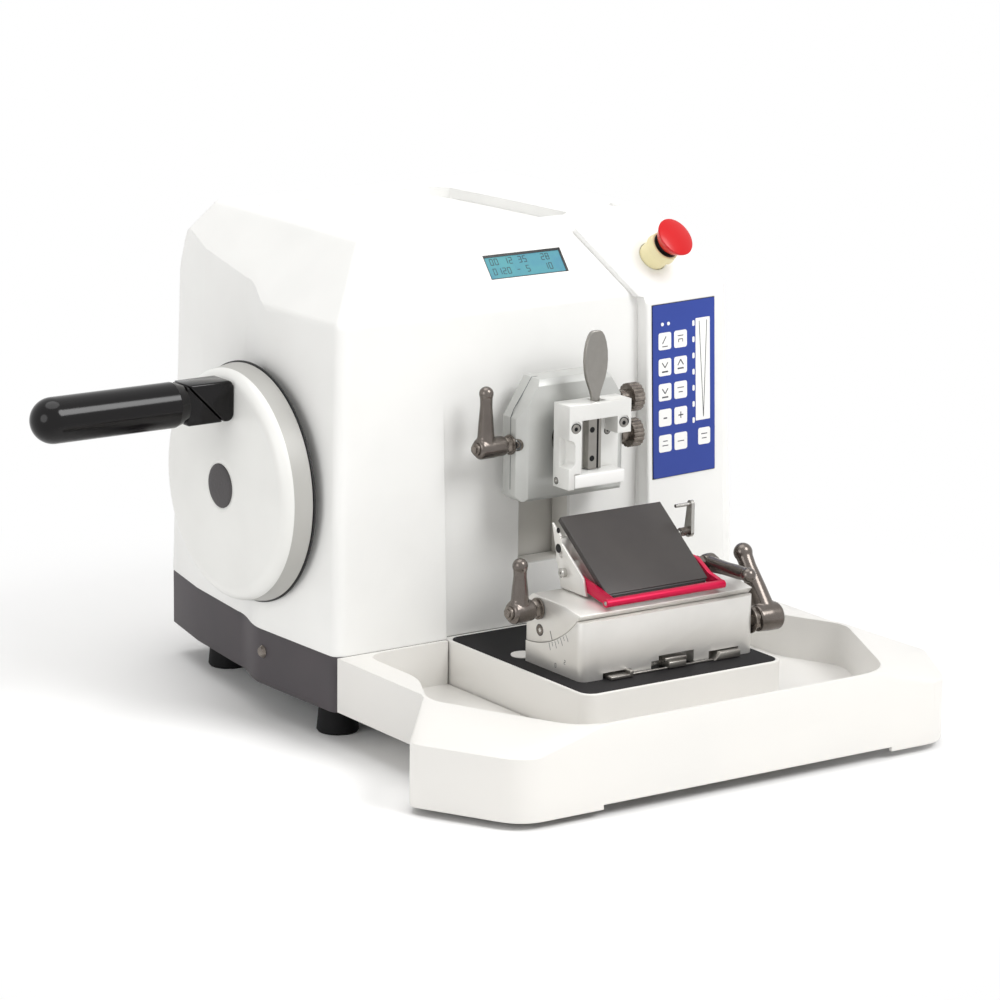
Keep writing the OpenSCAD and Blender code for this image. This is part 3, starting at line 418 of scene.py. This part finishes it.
HINGE = (-211, 83, 216.5)
HANDLE = Matrix.Translation(HINGE) @ Matrix.Rotation(pi / 2, 4, "X")
HANDLE_BACK, HANDLE_FRONT, HANDLE_SOFT = -13, 8, 1.8
lug = bmesh.new()
lug_outline = [(-13.6, 13), (13.4, -14), (17, -14), (19.6, -13), (20.9, -10), (20.9, 9), (19.6, 12), (17, 13)]
drawn(lug, lug_outline, HANDLE_BACK, HANDLE_FRONT, HANDLE, HANDLE_SOFT)
fit("fold_lug", lug, "handle_lug", phenolic, ("handle_lug",))
knuckle = bmesh.new()
drawn(knuckle, [(-14, 13.1), (-14, -14), (13.1, -14)], HANDLE_BACK, HANDLE_FRONT, HANDLE, HANDLE_SOFT)
turned(knuckle, [(0, 13), (4, 13), (4, 113), (3.6, 113.4), (0, 113.4)], facing(HINGE, LEFT))
fit("fold_knuckle", knuckle, "handle_knuckle", phenolic, ("handle_knuckle",))

# ---------------------------------------------------------------- emergency stop

# Tilt of the hood's front slope, which the display lies on and the stop's axis stands on
SLOPE = radians(51.04)
STOP = (Matrix.Translation((98, 0, 273)) @ Matrix.Rotation(SLOPE, 4, "X") @ Matrix.Translation((0, 23, 12.2))
        @ Matrix.Rotation(radians(9), 4, "Y"))
DOME_RADIUS, DOME_TOP = 57, 19.4
cone = [(0, 9.4), (9.2, 9.4), (10.8, 11.2), (13.2, 15.2), (13.8, 16.4), (13.9, 17.0), (13.6, 17.6)]
dome = [(r, DOME_TOP - DOME_RADIUS + (DOME_RADIUS ** 2 - r * r) ** 0.5) for r in (12.2, 10, 8, 6, 4, 2)]
spun("stop_head", cone + dome + [(0, DOME_TOP)], STOP, 64, "estop_button", stop_red, ("estop_button",))
spun("stop_neck", [(0, -10), (6.6, -10), (7, -9.6), (7, 7.6), (6.5, 8.0), (7, 8.4), (7, 9.6), (0, 9.6)], STOP, 48,
     "estop_button", black_plastic)
spun("stop_seal", [(7.6, 5.8), (9.3, 5.8), (9.3, 6.15), (9.1, 6.3), (7.8, 6.3), (7.6, 6.15)], STOP, 48,
     "estop_collar", black_plastic, closed=True)

# ---------------------------------------------------------------- keypad and display

# The keypad film's lower left corner on the console, with X across it and Y up it
KEYPAD = (Matrix.Translation((78, -8.5, 266)) @ Matrix.Rotation(radians(5), 4, "Z")
          @ Matrix.Rotation(radians(-2.141), 4, "X") @ Matrix.Translation((2.6, -2.02, -118.2))
          @ Matrix.Rotation(pi / 2, 4, "X"))
FILM_WIDTH, FILM_HEIGHT, FILM = 55, 117, 0.8


def key_tree():
    """Raised print fields: a softly cornered plate on every given place."""
    tree = bpy.data.node_groups.new("print_fields", "GeometryNodeTree")
    face = tree.interface
    face.new_socket("Places", in_out="INPUT", socket_type="NodeSocketGeometry")
    for label in ("Width", "Height", "Corner", "Rise"):
        face.new_socket(label, in_out="INPUT", socket_type="NodeSocketFloat").default_value = 1.0
    face.new_socket("Ink", in_out="INPUT", socket_type="NodeSocketMaterial")
    face.new_socket("Fields", in_out="OUTPUT", socket_type="NodeSocketGeometry")
    given = tree.nodes.new("NodeGroupInput").outputs
    outline = add(tree, "GeometryNodeCurvePrimitiveQuadrilateral",
                  {"Width": given["Width"], "Height": given["Height"]})
    soft = add(tree, "GeometryNodeFilletCurve", {"Curve": outline.outputs[0], "Radius": given["Corner"], "Count": 5},
               mode="POLY")
    sheet = add(tree, "GeometryNodeFillCurve", {"Curve": soft.outputs[0]}, mode="NGONS")
    back = add(tree, "GeometryNodeFlipFaces", {"Mesh": sheet.outputs[0]})
    raised = add(tree, "GeometryNodeExtrudeMesh", {"Mesh": sheet.outputs[0], "Offset Scale": given["Rise"]})
    both = add(tree, "GeometryNodeJoinGeometry")
    tree.links.new(back.outputs[0], both.inputs[0])
    tree.links.new(raised.outputs["Mesh"], both.inputs[0])
    whole = add(tree, "GeometryNodeMergeByDistance", {"Geometry": both.outputs[0]})
    spread = add(tree, "GeometryNodeInstanceOnPoints", {"Points": given["Places"], "Instance": whole.outputs[0]})
    real = add(tree, "GeometryNodeRealizeInstances", {"Geometry": spread.outputs[0]})
    inked = add(tree, "GeometryNodeSetMaterial", {"Geometry": real.outputs[0], "Material": given["Ink"]})
    tree.links.new(inked.outputs[0], tree.nodes.new("NodeGroupOutput").inputs[0])
    return tree


PRINT_FIELDS = key_tree()


def fields(name, places, width, height, corner, rise, ink):
    """One set of printed fields on the keypad film. A place is (from the left, from the top)."""
    mesh = bpy.data.meshes.new(name)
    mesh.from_pydata([(x, FILM_HEIGHT - y, FILM) for x, y in places], [], [])
    holder = linked(name + "_places", mesh)
    modifier = holder.modifiers.new("fields", "NODES")
    modifier.node_group = PRINT_FIELDS
    sizes = {"Width": width, "Height": height, "Corner": corner, "Rise": rise, "Ink": ink}
    for item in PRINT_FIELDS.interface.items_tree:
        if item.in_out == "INPUT" and item.name in sizes:
            modifier[item.identifier] = sizes[item.name]
    result = baked(holder)
    result.transform(TO_FRAME @ KEYPAD)
    settle(name, result, "keypad", ink)


KEY_ROWS = [24.7, 42.3, 59.2, 76.5, 94.0]
fields("keys_left", [(10.4, y) for y in KEY_ROWS], 11.2, 11.6, 1.6, 0.14, print_white)
fields("keys_middle", [(24.3, y) for y in KEY_ROWS], 11.4, 11.6, 1.6, 0.14, print_white)
fields("key_right", [(45.3, 93.3)], 10.8, 11.4, 1.6, 0.14, print_white)
fields("scale_strip", [(44.2, 47.3)], 12.8, 69.6, 0.7, 0.12, print_white)
fields("pilot_lights", [(8.2, 13.2), (13.6, 13.2)], 2.4, 2.4, 1.15, 0.3, print_white)
fields("level_marks", [(35.9, 15.5 + 11.0 * i) for i in range(7)], 2.0, 3.9, 0.95, 0.13, print_white)

PRINT_TOP, INK = FILM + 0.13, 0.07
# Printed strokes on the keys: width, then the points from the left and the top of the film
LEGEND = [
    (0.75, (7.9, 39.2), (10.4, 42.6), (12.9, 39.2)), (1.0, (7.7, 45.4), (13.1, 45.4)),
    (0.75, (21.8, 42.4), (24.3, 38.6), (26.8, 42.4)), (1.0, (21.6, 44.6), (27.0, 44.6)),
    (0.75, (7.9, 56.8), (10.4, 60.2), (12.9, 56.8)), (1.0, (7.7, 62.6), (13.1, 62.6)),
    (0.6, (21.4, 57.6), (27.2, 57.6)), (0.6, (22.4, 60.6), (26.2, 60.6)), (1.0, (8.9, 76.8), (12.0, 76.8)),
    (0.8, (22.1, 76.3), (26.5, 76.3)), (0.8, (24.3, 74.1), (24.3, 78.5)), (0.7, (8.2, 26.4), (11.4, 21.6)),
    (0.6, (8.0, 28.3), (12.8, 28.3)), (0.6, (21.8, 22.4), (26.8, 22.4)),
    (0.6, (22.6, 26.8), (22.6, 24.8), (26.2, 24.8), (26.2, 26.8)), (0.6, (8.4, 92.4), (12.4, 92.4)),
    (0.6, (7.8, 95.4), (13.0, 95.4)), (0.6, (21.4, 94.0), (27.2, 94.0)), (0.6, (42.6, 91.8), (48.0, 91.8)),
    (0.6, (43.2, 94.8), (47.4, 94.8)), (0.5, (41.0, 14.5), (44.7, 80.0), (47.8, 14.5)),
]
legend = bmesh.new()
for width, *points in LEGEND:
    for (x0, y0), (x1, y1) in zip(points, points[1:]):
        stroke(legend, (x0, FILM_HEIGHT - y0), (x1, FILM_HEIGHT - y1), width, KEYPAD, PRINT_TOP, PRINT_TOP + INK)
fit("key_legend", legend, "keypad", print_grey)
RIM = 0.45
RIM_RIGHT, RIM_TOP = FILM_WIDTH + RIM, FILM_HEIGHT + RIM
keypad_rim = bmesh.new()
drawn(keypad_rim, [(-RIM, -RIM), (RIM_RIGHT, -RIM), (RIM_RIGHT, RIM_TOP), (-RIM, RIM_TOP)], -0.3, 0.35, KEYPAD, 0.2)
fit("keypad_rim", keypad_rim, "keypad", black_plastic)

DISPLAY = Matrix.Translation((-1, 19.2, 296.75)) @ Matrix.Rotation(SLOPE, 4, "X")
GLASS_BACK = -0.48
# A figure's segments, from point to point of a grid two cells high
SEGMENTS = {
    "top": ((0, 2), (1, 2)), "upper_left": ((0, 2), (0, 1)), "upper_right": ((1, 2), (1, 1)),
    "middle": ((0, 1), (1, 1)), "lower_left": ((0, 1), (0, 0)), "lower_right": ((1, 1), (1, 0)),
    "bottom": ((0, 0), (1, 0)),
}
LIT = {
    "0": "top upper_left upper_right lower_left lower_right bottom", "1": "upper_right lower_right",
    "2": "top upper_right middle lower_left bottom", "3": "top upper_right middle lower_right bottom",
    "5": "top upper_left middle lower_right bottom", "8": " ".join(SEGMENTS), "-": "middle",
}


def figures(shape, text, x, y, size, width, place, height):
    """Plain seven-segment figures in a row, size mm high."""
    cell, pitch, ink = size * 0.5, size * 0.85, 0.06
    for i, figure in enumerate(text):
        for segment in LIT.get(figure, "").split():
            start, end = [(x + i * pitch + column * cell, y + row * cell) for column, row in SEGMENTS[segment]]
            stroke(shape, start, end, width, place, height, height + ink)


readout = bmesh.new()
for text, x, y in (("00 12 35", -26.5, 1.6), ("0120 - 5", -26.5, -5.6), ("28", 14.0, 1.6), ("10", 14.0, -5.6)):
    figures(readout, text, x, y, 4.4, 0.5, DISPLAY, GLASS_BACK)
fit("readout", readout, "display", lcd_ink)

# A thin black edge round the glass; the wide strips along the top and the right are painted shade of the window's
# recess
glass_border_and_shade = bmesh.new()
for low, high in (((-30.7, 7.3), (30.7, 8.9)), ((29.2, -8.9), (30.7, 8.9)), ((-30.7, -8.9), (-30.1, 8.9)),
                  ((-30.7, -8.9), (30.7, -8.4))):
    drawn(glass_border_and_shade, [low, (high[0], low[1]), high, (low[0], high[1])], GLASS_BACK, -0.1, DISPLAY, 0.08)
fit("display_border_and_shade", glass_border_and_shade, "display", black_plastic)

# ---------------------------------------------------------------- clamp levers


def clamp_lever(node, seat, hub_r, hub_l, arm, out, pin_r, pin_l, lean, neck=0.58, tip=0.69):
    """A die-cast clamp lever blended from hub, arm and ball, with its nut, washer, pin and end screw.

    The hub and the pin have a radius and a length each, and out is the side that the hub points to. The arm is tilted
    by lean degrees. The arm's neck and the ball at its tip are shares of the hub's radius."""
    place = Matrix.Translation(seat)
    along = place @ Matrix.Rotation(radians(90 * out), 4, "Y")
    casting = bmesh.new()
    turned(casting, [(0, 5.4), (hub_r * 0.86, 5.4), (hub_r * 0.93, 6.4), (hub_r, hub_l * 0.6), (hub_r, hub_l - 1.6),
                     (hub_r - 1.6, hub_l), (0, hub_l)], along, 48)
    lifted = place @ Matrix.Rotation(radians(lean), 4, "X") @ Matrix.Translation((out * (hub_l - hub_r), 0, 0))
    ball = hub_r * tip
    end = [(ball * cos(radians(a)), arm + ball * sin(radians(a))) for a in range(-30, 90, 10)]
    turned(casting, [(0, 0), (hub_r * 0.86, 0), (hub_r * 0.72, arm * 0.45), (hub_r * neck, arm * 0.78)] + end
           + [(0, arm + ball)], lifted, 40)
    holder = linked(node + "_holder", in_frame(node, casting))
    remesh = holder.modifiers.new("blend", "REMESH")
    remesh.mode = "VOXEL"
    remesh.voxel_size = 0.6 * MM
    smooth = holder.modifiers.new("fair", "SMOOTH")
    smooth.factor = 0.5
    smooth.iterations = 10
    result = baked(holder)
    shade(result, 60)
    settle(node + "_casting", result, node, pewter, (node,))
    metal = bmesh.new()
    turned(metal, [(0, -pin_l), (pin_r, -pin_l), (pin_r, 0.3), (hub_r * 0.95, 0.3), (hub_r * 0.95, 1.3),
                   (hub_r * 0.85, 1.5, 6), (hub_r * 0.85, 4.9, 6), (hub_r * 0.72, 5.3), (hub_r * 0.72, 5.8), (0, 5.8)],
           along, 36)
    turned(metal, [(0, hub_l - 1), (hub_r * 0.62, hub_l - 1), (hub_r * 0.62, hub_l + 1.2), (hub_r * 0.5, hub_l + 1.7),
                   (hub_r * 0.42, hub_l + 1.7, 6), (hub_r * 0.42, hub_l + 2.8, 6), (hub_r * 0.32, hub_l + 3),
                   (0, hub_l + 3)], along, 36)
    fit(node + "_screws", metal, node, turned_steel)


clamp_lever("head_lever", (-40.7, -23, 188), 7, 26.5, 36, -1, 3, 10, 0)
clamp_lever("shift_lever", (-64.8, -91, 97), 7.5, 22, 30, -1, 4, 12, 0)
clamp_lever("segment_lever", (72.8, -132.5, 79), 9.3, 24, 46, 1, 5, 10, -35)
clamp_lever("blade_lever", (51, -104, 112.8), 6.3, 15, 44, 1, 2.5, 14, 88, 0.74, 0.8)

# ---------------------------------------------------------------- vise

PADDLE_X, PADDLE_Z = 3, 242.5
# Height from the leaf's middle and half the width there, from the top down
HALF_LEAF = [(22, 2.6), (21, 4.3), (18.5, 6.0), (14, 7.7), (8, 8.8), (2, 9.0), (-4, 8.5), (-9, 7.4), (-14, 5.6),
             (-18, 3.9), (-22, 2.9), (-27, 2.7)]
leaf = [(PADDLE_X - width, PADDLE_Z + height) for height, width in HALF_LEAF]
leaf += [(PADDLE_X + width, PADDLE_Z + height) for height, width in HALF_LEAF[::-1]]
UPRIGHT = Matrix.Translation((0, -55, 0)) @ Matrix.Rotation(pi / 2, 4, "X")
paddle = bmesh.new()
drawn(paddle, leaf, -1.6, 1.6, UPRIGHT, 0.5)
dish = min(paddle.faces, key=lambda face: (round(face.calc_center_median().y, 2), -face.calc_area()))
bmesh.ops.inset_individual(paddle, faces=[dish], thickness=1.1)
bmesh.ops.translate(paddle, vec=(0, 0.5, 0), verts=dish.verts)
turned(paddle, [(0, 0.8), (3.4, 0.8), (3.4, 9.2), (0, 9.2)], facing((0, -55, 213.5), RIGHT), 32)
fit("paddle_leaf", paddle, "paddle_lever", milled_steel, ("paddle_lever",))

vise_metal, vise_dark = bmesh.new(), bmesh.new()
for x in (-17, 21):
    socket_screw(vise_metal, vise_dark, (x, -62.7, 202.9), FRONT, 3.3, 1.6, 0.25)
socket_screw(vise_metal, vise_dark, (17.6, -49.1, 195.5), FRONT, 2.0, 0.9, 0.5, 0.2)
socket_screw(vise_metal, vise_dark, (-22.5, -49, 167), LEFT, 1.9, 0.9, 0.4, 0.2)
# Black discs in the two guide holes and the small hole: painted shade of their depth
for z in (199, 180):
    turned(vise_dark, [(0, 0.08), (1.9, 0.08), (2.1, -0.2), (0, -0.2)], facing((1.4, -55, z), FRONT))
turned(vise_dark, [(0, 0.08), (1.3, 0.08), (1.3, -0.2), (0, -0.2)], facing((-6.5, -49, 196.5), FRONT))
block(vise_dark, (5.05, -54.6, 173.2), (6.45, -54.2, 207.8))
fit("vise_screws", vise_metal, "vise_frame", milled_steel)
fit("vise_bores", vise_dark, "vise_frame", black_steel)

# ---------------------------------------------------------------- specimen head

HEAD_SCREW = facing((-40.1, -29.4, 188.8), (-0.93, -0.37, 0))
head_dark, head_metal = bmesh.new(), bmesh.new()
turned(head_metal, [(3.4, -1.5), (3.5, 0.55), (3.9, 0.6), (4.1, -1.5)], HEAD_SCREW, closed=True)
turned(head_metal, [(0.9, -0.3, 6), (0.9, 0.1, 6), (1.9, 0.1), (2.2, -0.2), (2.2, -0.9), (0.9, -0.9, 6)], HEAD_SCREW,
       closed=True)
turned(head_dark, [(0, -0.35), (3.5, -0.35), (3.5, -1.4), (0, -1.4)], HEAD_SCREW)
# Line between the halves of the casting, down the left side and over the shoulder
SEAM = [(-40.56, 158), (-40.56, 206), (-38.4, 211.2), (-30.5, 222.1), (-24.5, 231.06), (-20, 231.06)]
SEAM_FRONT, SEAM_BACK, SEAM_PROUD, SEAM_SUNK = -22.9, -22.4, 0.05, 0.2
for (x0, z0), (x1, z1) in zip(SEAM, SEAM[1:]):
    out = Vector((z0 - z1, 0, x1 - x0)).normalized()
    corners = [Vector((x0, SEAM_FRONT, z0)), Vector((x1, SEAM_FRONT, z1)), Vector((x1, SEAM_BACK, z1)),
               Vector((x0, SEAM_BACK, z0))]
    low = [head_dark.verts.new(corner - out * SEAM_SUNK) for corner in corners]
    high = [head_dark.verts.new(corner + out * SEAM_PROUD) for corner in corners]
    head_dark.faces.new(low)
    head_dark.faces.new(high)
    bridged(head_dark, low, high)
fit("head_seam", head_dark, "specimen_head", casting_paint)
fit("head_screw_seat", head_metal, "specimen_head", turned_steel)

# ---------------------------------------------------------------- blade holder

seat_metal, seat_dark = bmesh.new(), bmesh.new()
socket_screw(seat_metal, seat_dark, (-64.5, -92.5, 83.1), LEFT, 3.4, 1.7, 0.35, 0.2)
fit("segment_screw", seat_metal, "blade_segment", turned_steel)
EDGE_Y, EDGE_Z = -76, 151
SIDE = Matrix.Translation((-64.5, 0, 0)) @ Matrix(((0, 0, -1, 0), (1, 0, 0, 0), (0, 1, 0, 0), (0, 0, 0, 1)))


def on_arc(angle, radius):
    """A place on the holder's side, round the blade edge."""
    return (EDGE_Y - radius * sin(radians(angle)), EDGE_Z - radius * cos(radians(angle)))


stroke(seat_dark, on_arc(23, 71.5), on_arc(23, 77.6), 0.55, SIDE, -0.1, 0.06)
fit("segment_index", seat_dark, "blade_segment", black_steel)
scale = bmesh.new()
for i in range(7):
    angle = 20 + 2.5 * i
    stroke(scale, on_arc(angle, 78.5), on_arc(angle, 83.5 if i % 2 == 0 else 81.5), 0.4, SIDE, -0.1, 0.06)
for i, figure in enumerate("0 5"):
    figures(scale, figure, -111 - 5 * i, 62.6 + 2.2 * i, 2.6, 0.35, SIDE, 0.0)
fit("angle_scale", scale, "holder_base", print_grey)

# Black discs on the seat's side: painted shade in its two bores
bores = bmesh.new()
for radius, point in ((3.0, (-42.5, -80.8, 131.3)), (1.8, (-42.5, -80.2, 143))):
    turned(bores, [(0, 0.06), (radius, 0.06), (radius, -0.2), (0, -0.2)], facing(point, LEFT))
fit("seat_bores", bores, "blade_seat", black_steel)

pivot = bmesh.new()
turned(pivot, [(0, 0.3), (0.9, 0.3, 6), (0.9, 1.0, 6), (2.4, 1.0), (3.1, 0.4), (3.1, -2.6), (0, -2.6)],
       facing((-44.9, -88, 117), LEFT))
turned(pivot, [(0, 0.35), (1.1, 0.3), (1.4, 0), (1.4, -0.6), (0, -0.6)], facing((-45.5, -137, 107.9), LEFT))
fit("guard_pivot", pivot, "finger_guard", ground_steel)
ALONG = Matrix(((0, 0, 1, 0), (1, 0, 0, 0), (0, 1, 0, 0), (0, 0, 0, 1)))


def on_slope(down, below):
    """A place on the blade's clearance slope: down it from the edge, and below it."""
    return (EDGE_Y - down * 0.8 + below * 0.6, EDGE_Z - down * 0.6 - below * 0.8)


lip = bmesh.new()
drawn(lip, [on_slope(65.9, 1.3), on_slope(67.2, 1.7), on_slope(67.2, 4.4), on_slope(65.9, 4.4)], -36.5, 40.5, ALONG,
      0.3)
fit("plate_lip", lip, "pressure_plate", black_plastic)

COIL_START, COIL_LENGTH, COIL_RADIUS, WIRE_RADIUS = Vector((48.8, -88.5, 131.5)), 5.7, 2.5, 0.42
COIL_STEPS, STEPS_A_TURN, WIRE_SIDES = 120, 26, 8
spring = bmesh.new()
rings = []
for i in range(COIL_STEPS + 1):
    turn = 2 * pi * i / STEPS_A_TURN
    out = Vector((0, cos(turn), sin(turn)))
    centre = COIL_START + Vector((COIL_LENGTH * i / COIL_STEPS, 0, 0)) + COIL_RADIUS * out
    rings.append([spring.verts.new(centre + WIRE_RADIUS * (cos(a) * out + sin(a) * Vector((1, 0, 0))))
                  for a in (2 * pi * k / WIRE_SIDES for k in range(WIRE_SIDES))])
for low, high in zip(rings, rings[1:]):
    bridged(spring, low, high)
spring.faces.new(rings[0])
spring.faces.new(rings[-1])
fit("release_spring", spring, "release_lever", turned_steel)

# ---------------------------------------------------------------- camera, floor and light

CAMERA_AZIMUTH = radians(34.67)
CAMERA_HEIGHT_ANGLE = radians(13.70)
CAMERA_ROLL = radians(0.68)
CAMERA_DISTANCE = 2938.9
AIM_RIGHT = -26.82
AIM_UP = 136.68
LENS = 158.4
# The paper turns plain white between these distances from the machine's middle, in metres
PAPER_NEAR, PAPER_FAR = 0.22, 0.6


def make_camera():
    """The camera, placed from the knee point along its own right, up and back, in millimetres."""
    right = Vector((cos(CAMERA_AZIMUTH), -sin(CAMERA_AZIMUTH), 0))
    back = Vector((
        -sin(CAMERA_AZIMUTH) * cos(CAMERA_HEIGHT_ANGLE),
        -cos(CAMERA_AZIMUTH) * cos(CAMERA_HEIGHT_ANGLE),
        sin(CAMERA_HEIGHT_ANGLE),
    ))
    up = back.cross(right)
    place = right * AIM_RIGHT + up * AIM_UP + back * CAMERA_DISTANCE
    turned_right = right * cos(CAMERA_ROLL) + up * sin(CAMERA_ROLL)
    turned_up = up * cos(CAMERA_ROLL) - right * sin(CAMERA_ROLL)
    data = bpy.data.cameras.new("camera")
    data.lens = LENS
    data.sensor_width = 36
    data.clip_end = 50
    camera = linked("camera", data)
    turn = Matrix((turned_right, turned_up, back)).transposed().to_4x4()
    camera.matrix_world = Matrix.Translation(TO_FRAME @ place) @ turn
    bpy.context.scene.camera = camera


def plain_rays(tree):
    """1 for the rays that see plain white around the machine: camera, glossy and transmission rays."""
    path = add(tree, "ShaderNodeLightPath")
    seen = path.outputs["Is Camera Ray"]
    for ray in ("Is Glossy Ray", "Is Transmission Ray"):
        seen = add(tree, "ShaderNodeMath", {0: seen, 1: path.outputs[ray]}, operation="MAXIMUM").outputs[0]
    return seen


def make_floor():
    """Matt seamless paper: it holds the near shadow and runs out into plain white."""
    mesh = bpy.data.meshes.new("floor")
    half = 6.0
    mesh.from_pydata([(-half, -half, 0), (half, -half, 0), (half, half, 0), (-half, half, 0)], [], [(0, 1, 2, 3)])
    floor = linked("floor", mesh)
    material = bpy.data.materials.new("seamless_paper")
    material.use_nodes = True
    tree = material.node_tree
    shader = tree.nodes["Principled BSDF"]
    shader.inputs["Base Color"].default_value = (1, 1, 1, 1)
    shader.inputs["Roughness"].default_value = 0.9
    place = add(tree, "ShaderNodeTexCoord").outputs["Object"]
    away = add(tree, "ShaderNodeVectorMath", {0: place}, operation="LENGTH")
    far = add(tree, "ShaderNodeMapRange",
              {"Value": away.outputs["Value"], "From Min": PAPER_NEAR, "From Max": PAPER_FAR},
              interpolation_type="SMOOTHSTEP")
    share = add(tree, "ShaderNodeMath", {0: far.outputs[0], 1: plain_rays(tree)}, operation="MULTIPLY")
    white = add(tree, "ShaderNodeEmission", {"Color": (1, 1, 1, 1), "Strength": 1.0})
    mix = add(tree, "ShaderNodeMixShader", {0: share.outputs[0], 1: shader.outputs[0], 2: white.outputs[0]})
    tree.links.new(mix.outputs[0], tree.nodes["Material Output"].inputs["Surface"])
    mesh.materials.append(material)


def area_light(name, place, aim, size, power):
    """A round soft light, in metres and watts."""
    data = bpy.data.lights.new(name, "AREA")
    data.shape = "DISK"
    data.size = size
    data.energy = power
    light = linked(name, data)
    light.location = place
    light.rotation_euler = (Vector(aim) - Vector(place)).to_track_quat("-Z", "Y").to_euler()


def make_light():
    """Three soft lights, and a warm dim world that plain rays see as white."""
    area_light("key", (0.9, -1.9, 2.2), (0, 0, 0.15), 1.5, 50)
    area_light("top", (-0.2, 0.3, 2.6), (0, 0, 0.1), 2.2, 26)
    area_light("side", (-2.6, -0.5, 1.0), (0, 0, 0.15), 1.6, 15)
    world = bpy.data.worlds.new("studio")
    bpy.context.scene.world = world
    world.use_nodes = True
    tree = world.node_tree
    tree.nodes.clear()
    dim = add(tree, "ShaderNodeBackground", {"Color": (1.0, 0.985, 0.96, 1), "Strength": 0.46})
    white = add(tree, "ShaderNodeBackground", {"Color": (1, 1, 1, 1), "Strength": 1.0})
    mix = add(tree, "ShaderNodeMixShader", {0: plain_rays(tree), 1: dim.outputs[0], 2: white.outputs[0]})
    add(tree, "ShaderNodeOutputWorld", {"Surface": mix.outputs[0]})


make_camera()
make_floor()
make_light()
bpy.context.scene.view_settings.view_transform = "Standard"
